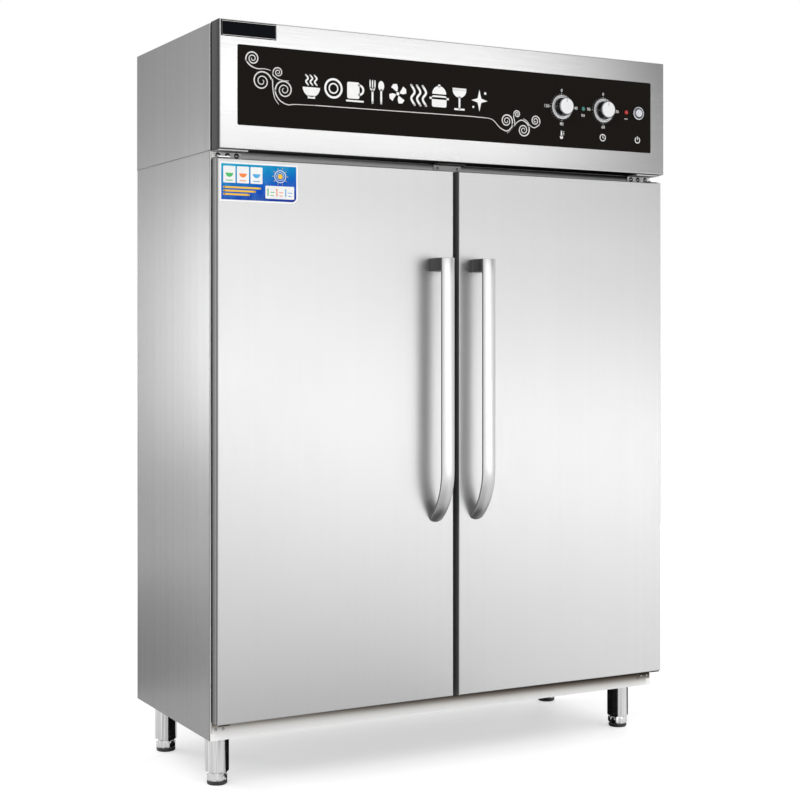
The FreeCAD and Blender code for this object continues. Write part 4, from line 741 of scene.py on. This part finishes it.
marks.line(smooth_path([(cx - 19, cz + 10), (cx - 12, cz + 1), (cx - 5, cz + 10)]), 3.6)
marks.line([(cx - 12, cz + 4), (cx - 12, cz - 28)], BOLD)
marks.shape([(cx + 13 + 8.5 * math.cos(a), cz + 16 + 13 * math.sin(a)) for a in
             [2 * math.pi * k / 28 for k in range(28)]])
marks.line([(cx + 13, cz + 6), (cx + 13, cz - 28)], BOLD)
cx, cz = icon_at(4)                                            # a fan
for k in range(4):
    turn = math.pi / 2 * k + 0.4
    marks.shape([(cx + r * math.cos(turn + a), cz + r * math.sin(turn + a)) for r, a in
                 ((7, -0.25), (16, -0.42), (25, -0.30), (27.5, 0.1), (25, 0.5), (16, 0.42),
                  (7, 0.25))])
marks.disc(cx, cz, 4.5)
cx, cz = icon_at(5)                                            # rising warm air
for shift in (-17, 0, 17):
    wave(cx + shift, cz, 50, 6, 5)
cx, cz = icon_at(6)                                            # a pot with its lid
marks.box(cx - 22, cz - 26, cx + 22, cz + 4, 5)
marks.disc(cx, cz + 8, 21, 24, 0, math.pi)
marks.disc(cx, cz + 29.5, 4)
marks.box(cx - 29, cz - 6, cx + 29, cz - 0.5)
cx, cz = icon_at(7)                                            # a goblet
marks.disc(cx, cz + 24, 21, 24, math.pi, math.pi)
marks.box(cx - 21, cz + 23, cx + 21, cz + 28)
marks.line([(cx, cz + 4), (cx, cz - 26)], BOLD)
marks.box(cx - 16, cz - 30, cx + 16, cz - 25, 2)
cx, cz = icon_at(8)                                            # a clean sparkle
marks.shape([(cx + r * math.cos(math.pi / 4 * k), cz + r * math.sin(math.pi / 4 * k))
             for k, r in enumerate((25, 8, 29, 8, 25, 8, 29, 8))])
marks.disc(cx + 18, cz + 20, 3.5)
marks.disc(cx - 19, cz - 18, 3)

KNOBS = {"knob_temperature": (325.7, ("0", "40", "80", "120"), "temperature_knob"),
         "knob_timer": (464.4, ("0", "30", "60", "90"), "timer_knob")}
SWITCH, LAMPS = 583.6, (396.4, 542.4)       # places along the strip
ROW = 1753.0                                # height of the knobs and the switch
SCALE, STEPS = 34.5, 28                     # inner radius and number of the scale's lines
for x, numbers, _ in KNOBS.values():
    for k, (words, away) in enumerate(zip(numbers, (46, 47, 47, 49))):
        angle = math.pi / 2 * (1 - k)
        across, up = math.cos(angle), math.sin(angle)
        marks.line([(x + r * across, ROW + r * up) for r in (SCALE, 38)], 1.2, ends=False)
        marks.text(words, x + away * across, ROW + away * up * 0.98, 8.5)
    for k in range(1, STEPS):
        if k % (STEPS // 4):
            angle = math.radians(90 - k * 360 / STEPS)
            marks.line([(x + r * math.cos(angle), ROW + r * math.sin(angle))
                        for r in (SCALE, 36.2)], 0.7, ends=False)

SYMBOLS = 1678.0
x = 325.0                                                      # a thermometer
marks.line([(x, SYMBOLS + 9), (x, SYMBOLS - 5)], 4.4)
marks.disc(x, SYMBOLS - 7, 5)
for k in range(3):
    marks.line([(x + 5, SYMBOLS + 8 - 4 * k), (x + 9, SYMBOLS + 8 - 4 * k)], 1.4)
x = 463.0                                                      # a clock
marks.ring(x, SYMBOLS, 9, 2.2)
marks.line([(x, SYMBOLS + 6), (x, SYMBOLS), (x + 4.5, SYMBOLS - 2)], 1.8)
x = 582.0                                                      # power
marks.line([(x + 8 * math.cos(a), SYMBOLS + 8 * math.sin(a)) for a in
            [math.pi * (0.68 + 1.64 * k / 24) for k in range(25)]], 2.3)
marks.line([(x, SYMBOLS + 10), (x, SYMBOLS + 1)], 2.3)
for shift in (-4, 0, 4):                                       # heat, under the first lamp
    wave(LAMPS[0] + shift, ROW - 18, 6.5, 1.2, 0.9)
for shift in (-4, 0, 4):                                       # ready, under the second
    marks.disc(LAMPS[1] + shift, ROW - 18, 1.3, 16)
marks.finish("panel_marks", ink, "cabinet")

# ---------------------------------------------------------------- knobs and switch
FLUTES, KNOB_SEGMENTS = 44, 240
RIM_RADIUS, RIM_HEIGHT = 31, 3.1            # the fluted rim lies outside and below these


def fluted(angle, height, radius):
    if radius <= RIM_RADIUS or height >= RIM_HEIGHT:
        return 1
    return 1 - 0.05 * (math.cos(angle * FLUTES) > 0.2)


for node, (x, _, body) in KNOBS.items():
    bm = bmesh.new()
    centre = Vector((x * MM, (OVERLAY - 0.5) * MM, ROW * MM))
    for index, profile in (                 # each with the number of its material
            (0, [(-16, 0), (-16, 2.9), (0, 2.9), (0, 32.4), (0.4, 33), (2.3, 33), (2.8, 32.3),
                 (3, 31.4), (3, 29.6)]),
            (1, [(3, 29.6), (2.2, 29.4), (2.2, 28.4), (3, 28.2)]),
            (0, [(3, 28.2), (3.4, 27.6), (3.4, 26.4)]),
            (2, [(3.4, 26.4), (3.4, 25.6), (4.4, 25.0), (22.4, 23.6), (24.6, 22.9), (25.6, 21.9),
                 (26, 20.4)]),
            (3, [(26, 20.4), (26, 8), (26, 0)])):
        lathe(bm, profile, centre, "front", KNOB_SEGMENTS, index, fluted)
    bmesh.ops.remove_doubles(bm, verts=bm.verts, dist=1e-6)
    pointer = bmesh.new()
    bevelled_box(pointer, centre + Vector((-0.0006, -0.0263, 0.0105)),
                 centre + Vector((0.0006, -0.0258, 0.0185)), 0.0001)
    piece(node + "_pointer", pointer, mark_and_recess_shade, body)
    face = plastic(node + "_face", (0.70, 0.70, 0.71), 0.45, 0.15, 0.03)
    # The knob's barrel is a darker copy of its metal and its groove is black: painted shade.
    piece(node + "_turned", bm, [paint["silver_knob"], mark_and_recess_shade,
                                 polished(node + "_barrel_shade", (0.24, 0.24, 0.25), 0.22), face],
          body, [node])

centre = Vector((SWITCH * MM, OVERLAY * MM, ROW * MM))
bm = bmesh.new()
lathe(bm, [(-30, 12.4), (-30, 14.3), (0, 14.3), (0, 18.6), (0.4, 19), (2.6, 19), (4.2, 18.2),
           (5, 16.6), (4.9, 15.2), (4.4, 14.4)], centre, "front", 128)
# The bezel's inner wall is black, painted shade.
lathe(bm, [(4.4, 14.4), (3.4, 13.6), (2.0, 13.4), (-30, 12.4)], centre, "front", 128, 1)
bmesh.ops.remove_doubles(bm, verts=bm.verts, dist=1e-6)
piece("switch_bezel", bm, [polished("bezel_metal", (0.36, 0.37, 0.40), 0.25), mark_and_recess_shade], "cabinet",
      ["power_switch"])
bm = bmesh.new()
lathe(bm, [(-11, 0), (-11, 10.8), (5.9, 10.8), (6.7, 10.2), (7, 9.2), (6.8, 7), (6.4, 4),
           (6.3, 0)], centre, "front", 128)
piece("switch_button", bm, paint["button_plastic"], "button", ["power_button"])

# ---------------------------------------------------------------- badge and sticker
BADGE_THICK = 1.2                           # in mm
bm = bmesh.new()
bevelled_box(bm, (-0.6715, HEAD_LOW.y - BADGE_THICK * MM, 1.8585), (-0.5245, HEAD_LOW.y, 1.8975),
             0.0005)
piece("badge_plate", bm, matt_black, "cabinet")
border = Print(HEAD_LOW.y / MM - BADGE_THICK, 0.05)
border.line([(-669, 1861), (-527, 1861), (-527, 1895), (-669, 1895)], 1.0, closed=True)
border.finish("badge_border", silver_ink, "cabinet")

DOOR = DOOR_LOW.y / MM                      # from here on the doors' face in mm
FIELD, PRINTED, TINTED = DOOR - 0.12, DOOR - 0.16, DOOR - 0.2      # faces of the label's layers
LEFT, RIGHT, BOTTOM, TOP, CORNER = -669.5, -460.0, 1457.5, 1554.0, 16.0


def label_outline(inset):
    r = CORNER - inset
    x0, x1, z0, z1 = LEFT + inset, RIGHT - inset, BOTTOM + inset, TOP - inset
    turn = [(x1 - r + r * math.sin(a), z0 + r - r * math.cos(a))
            for a in [math.pi / 2 * k / 8 for k in range(9)]]
    return [(x0, z0), *turn, (x1, z1), (x0, z1)]


sheet = Print(DOOR, 0.12)
sheet.shape(label_outline(0))
sheet.finish("label_paper", plastic("label_white", (0.80, 0.80, 0.79), 0.4, 0.02, 0.02),
             "door_left")
blue = Paint("label_blue", (0.02, 0.2, 0.6), 0.45, **{"Specular IOR Level": 0.05})
rise = blue.math("MULTIPLY_ADD", blue.span(blue.at("X"), 1, 0, LEFT * MM, RIGHT * MM), 0.3,
                 blue.span(blue.at("Z"), 0, 0.75, BOTTOM * MM, TOP * MM))
fade = blue.ramp(rise, [(0.0, (0.005, 0.012, 0.22)), (1.0, (0.0, 0.33, 0.52)),
                        (0.42, (0.004, 0.075, 0.44))])
clouds = blue.noise(28, 4)
blue.use(Base_Color=blue.blend(blue.span(clouds, 0, 0.12, 0.45, 0.7), fade, (0.25, 0.65, 0.85)))
field = Print(FIELD, 0.04)
field.shape(label_outline(4.2))
field.finish("label_field", blue.material, "door_left")
white = Print(PRINTED, 0.04)
for x0, z0, x1, z1 in ((-660, 1503, -628, 1544), (-624, 1503, -592, 1544),
                       (-588, 1503, -556, 1544), (-548, 1468, -470, 1500)):
    white.box(x0, z0, x1, z1, 2)
ROSETTE = (-508, 1524)
white.ring(*ROSETTE, 15, 1.6)
white.ring(*ROSETTE, 10, 0.9)
white.finish("label_panels", ink, "door_left")
yellow = Print(PRINTED, 0.05)
for length, level in ((96, 1492), (82, 1483.5), (66, 1475)):
    yellow.line([(-658, level), (-658 + length, level)], 4.6)
yellow.disc(*ROSETTE, 6.5)
for k in range(10):
    angle = 2 * math.pi * k / 10
    yellow.line([(ROSETTE[0] + r * math.cos(angle), ROSETTE[1] + r * math.sin(angle))
                 for r in (18.5, 21)], 1.6)
yellow.finish("label_yellow", plastic("label_yellow_ink", (0.80, 0.47, 0.005), 0.45, 0, 0.04),
              "door_left")
for k, (label, colour) in enumerate((("green", (0.03, 0.42, 0.10)),
                                     ("orange", (0.80, 0.20, 0.03)),
                                     ("cyan", (0.05, 0.35, 0.65)))):
    tint = Print(TINTED, 0.04)
    x = -644 + 36 * k
    tint.disc(x, 1527, 10, 24, math.pi, math.pi)
    tint.line([(x - 8, 1509), (x + 8, 1509)], 2.2)
    tint.line([(-541 + 24 * k, 1476), (-541 + 24 * k, 1492)], 3.0)
    tint.line([(-534 + 24 * k, 1476), (-526 + 24 * k, 1476)], 1.8)
    tint.line([(-534 + 24 * k, 1484), (-524 + 24 * k, 1484)], 1.8)
    tint.finish("label_" + label, plastic(label + "_ink", colour, 0.45, 0, 0.04), "door_left")


# ---------------------------------------------------------------- handles, in mm
HALF, CROWN, FLAT = 19.0, 5.0, 6.0          # half width, rise of the crown, height of the sides
ROUNDING = 1.4                              # where the sides turn into the crown
HANDLE_X, HANDLE_TOP = 62.0, 1331.0         # of each bar's middle and of its upper end
BEND, SPINE, BEND_STEP = 779.0, 159.0, 1.78     # its height, its radius and its step in degrees
HANDLE_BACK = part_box("door_left_handle")[0].y / MM + FLAT + CROWN


def handle_section(inset):
    """The bar's outline as (across, outward) from the middle of its back face."""
    radius = (HALF ** 2 + CROWN ** 2) / (2 * CROWN)
    points = []
    for k in range(17):
        x = (HALF - ROUNDING) * (1 - k / 8)
        points.append((x, FLAT + CROWN - radius + math.sqrt(radius ** 2 - x ** 2)))
    edge = [(0.5, FLAT - 0.2), (0, FLAT - ROUNDING), (0, 1.0), (1.0, 0)]
    points += [(x - HALF, h) for x, h in edge] + [(HALF - x, h) for x, h in reversed(edge)]
    middle = (FLAT + CROWN) / 2
    return [(x * (HALF - inset) / HALF, middle + (h - middle) * (middle - inset) / middle)
            for x, h in points]


for label, side in (("left", -1), ("right", 1)):
    bm = bmesh.new()
    start = HANDLE_TOP - 1.2                # below the rounded upper end
    stations = [(HANDLE_TOP, 0, 1.2), (HANDLE_TOP - 0.35, 0, 0.4), (start, 0, 0)]
    stations += [(start - (start - BEND) * k / 12, 0, 0) for k in range(1, 13)]
    stations += [(BEND, math.radians(BEND_STEP * k), 0) for k in range(1, 33)]
    rings = []
    for level, sweep, inset in stations:
        row = []
        for across, out in handle_section(inset):
            if sweep:
                y = HANDLE_BACK + SPINE - (SPINE + out) * math.cos(sweep)
                z = level - (SPINE + out) * math.sin(sweep)
            else:
                y, z = HANDLE_BACK - out, level
            row.append(bm.verts.new(((side * HANDLE_X + across) * MM, y * MM, z * MM)))
        rings.append(row)
    count = len(rings[0])
    for low, high in zip(rings, rings[1:]):
        for k in range(count):
            bm.faces.new([low[k], low[(k + 1) % count], high[(k + 1) % count], high[k]])
    bm.faces.new(rings[0])
    bm.faces.new(rings[-1])
    bmesh.ops.bisect_plane(bm, geom=bm.verts[:] + bm.edges[:] + bm.faces[:],
                           plane_co=(0, DOOR * MM, 0), plane_no=(0, 1, 0), clear_outer=True)
    bmesh.ops.holes_fill(bm, edges=bm.edges)
    piece(f"{label}_handle_bar", bm, handle_steel, f"door_{label}",
          [f"door_{label}_handle"], sharp=40)
    low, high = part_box(f"door_{label}_handle_block")
    bm = bmesh.new()
    bevelled_box(bm, low, high, 0.0012)     # the block, then a thin band round it
    bevelled_box(bm, (low.x - 0.0004, low.y + 0.004, low.z + 0.0012),
                 (high.x + 0.0004, low.y + 0.0055, high.z - 0.0012), 0.0002)
    piece(f"{label}_handle_foot", bm, paint["dark_block"], f"door_{label}",
          [f"door_{label}_handle_block"])

# ---------------------------------------------------------------- legs and feet
PLATE = 0.042                               # half the side of a leg's top plate


def flats(angle, height, radius):
    """Eight flats on the foot's collar, which run out into the round at its top and foot."""
    if radius < 25.2 or not 10 < height < 31:
        return 1
    part = math.pi / 4
    return math.cos(part / 2) / math.cos(angle % part - part / 2) * 1.02


bm = bmesh.new()
for node in nodes:
    if not node.startswith("foot_"):
        continue
    low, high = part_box(node)
    centre = Vector(((low.x + high.x) / 2, (low.y + high.y) / 2, 0))
    lathe(bm, [(33.3, 7), (33.3, 28.6), (33.6, 29.4), (34.4, 29.9), (36, 30), (126, 30),
               (127.4, 30.5), (128.6, 31.4), (129.4, 32.8)], centre, "up", 128)
    bevelled_box(bm, centre + Vector((-PLATE, -PLATE, 0.1295)),
                 centre + Vector((PLATE, PLATE, 0.1315)), 0.0008)
    foot = bmesh.new()
    lathe(foot, [(72, 0), (73, 0), (73, 4.6), (72, 5.6), (33, 5.6), (33, 22.5), (32.7, 24.4),
                 (31.6, 25.2), (28.6, 27.3), (14, 27.3), (11.6, 25.6), (10.6, 25)],
          centre, "up", 144, 0, flats)
    lathe(foot, [(10.6, 25), (10.2, 25.4), (9.2, 25.6), (3, 25.6), (1.2, 25), (0, 23.6), (0, 16),
                 (1.0, 15), (1.0, 0)], centre, "up", 144, 1)
    bmesh.ops.remove_doubles(foot, verts=foot.verts, dist=1e-6)
    piece(node + "_turned", foot, [paint["bright_steel"], rubber], node, [node])
piece("leg_set", bm, paint["bright_steel"], "cabinet", ["leg_tubes"])


# ---------------------------------------------------------------- screws
def screw(bm, x, y, z, facing, radius, head=1.5, ring=2.0):
    """A domed cross-head screw on a face, with a dark ring round it; its cross is painted dark, as
    the shade in its hollow.
    """
    centre = Vector((x, y, z)) * MM
    lathe(bm, [(0, radius), (head * 0.35, radius), (head * 0.75, radius * 0.8),
               (head, radius * 0.45), (head, 0)], centre, facing, 32, 0)
    lathe(bm, [(0.05, radius + ring), (0.12, radius)], centre, facing, 32, 1)
    turn = FACING[facing]
    for wide, tall in ((radius * 0.95, radius * 0.24), (radius * 0.24, radius * 0.95)):
        corners = [(-wide / 2, -tall / 2), (wide / 2, -tall / 2), (wide / 2, tall / 2),
                   (-wide / 2, tall / 2)]
        bm.faces.new([bm.verts.new(turn @ (Vector((u, v, head + 0.04)) * MM) + centre)
                      for u, v in corners]).material_index = 1


screws = bmesh.new()
FRAME_FRONT = CARCASS_LOW.y / MM
BACK = CARCASS_HIGH.y / MM                  # the side panels' rear flanges
REAR = BACK - 1.2                           # the rear cover of the head
LEAF = FRAME_FRONT - 3                      # the face of the hinge leaves
for side in (-1, 1):
    for x in (605.4, 629.4, 655.0):
        screw(screws, side * x, LEAF, 1574.5, "front", 3.4, ring=3.2)
    for x in (608.0, 632.0):
        screw(screws, side * x, FRAME_FRONT - 24.5, 1581.7, "down", 3.4)
    for x in (641.0, 661.0):
        screw(screws, side * x, LEAF, 158.0, "front", 2.4, 1.2, 1.2)
    screw(screws, side * 30, LEAF, 1573.5, "front", 2.6, ring=1.0)
    for k in range(9):
        screw(screws, side * 664.5, BACK, 170 + k * 172, "back", 3.4)
    for k in range(3):
        screw(screws, side * 664.5, REAR, 1604 + k * 136, "back", 3.4)
for k in range(-3, 4):
    screw(screws, k * 205, REAR, 1590.5, "back", 3.4)
    screw(screws, k * 205, REAR, 1892.0, "back", 3.4)
piece("screw_set", screws, [paint["rack_steel"], mark_and_recess_shade], "cabinet")

# ---------------------------------------------------------------- black lip behind each door's rim: rubber, and painted shade for the gap
LIP_EDGE, LIP_END, LIP_DEPTH = 0.002, 0.008, 0.0055    # how far in it starts and ends
back = DOOR_LOW.y + DOOR_FOLD
for label in ("left", "right"):
    low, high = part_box(f"door_{label}_skin")
    x0, x1, z0, z1 = low.x + LIP_EDGE, high.x - LIP_EDGE, low.z + LIP_EDGE, high.z - LIP_EDGE
    in_x0, in_x1, in_z0, in_z1 = (low.x + LIP_END, high.x - LIP_END, low.z + LIP_END,
                                  high.z - LIP_END)
    bm = bmesh.new()
    for start, end in (((x0, z0), (in_x0, z1)), ((in_x1, z0), (x1, z1)),
                       ((in_x0, z0), (in_x1, in_z0)), ((in_x0, in_z1), (in_x1, z1))):
        bevelled_box(bm, (start[0], back, start[1]), (end[0], back + LIP_DEPTH, end[1]), 0.001)
    piece(f"{label}_door_lip", bm, paint["gasket_rubber"], f"door_{label}")

# ---------------------------------------------------------------- seal strip in the doors' gap, which also paints the gap's shade
bm = bmesh.new()
bevelled_box(bm, (-0.018, (FRAME_FRONT - 1) * MM, 0.216), (0.018, FRAME_FRONT * MM, 1.526),
             0.0003)
piece("centre_seal", bm, paint["gasket_rubber"], "cabinet")
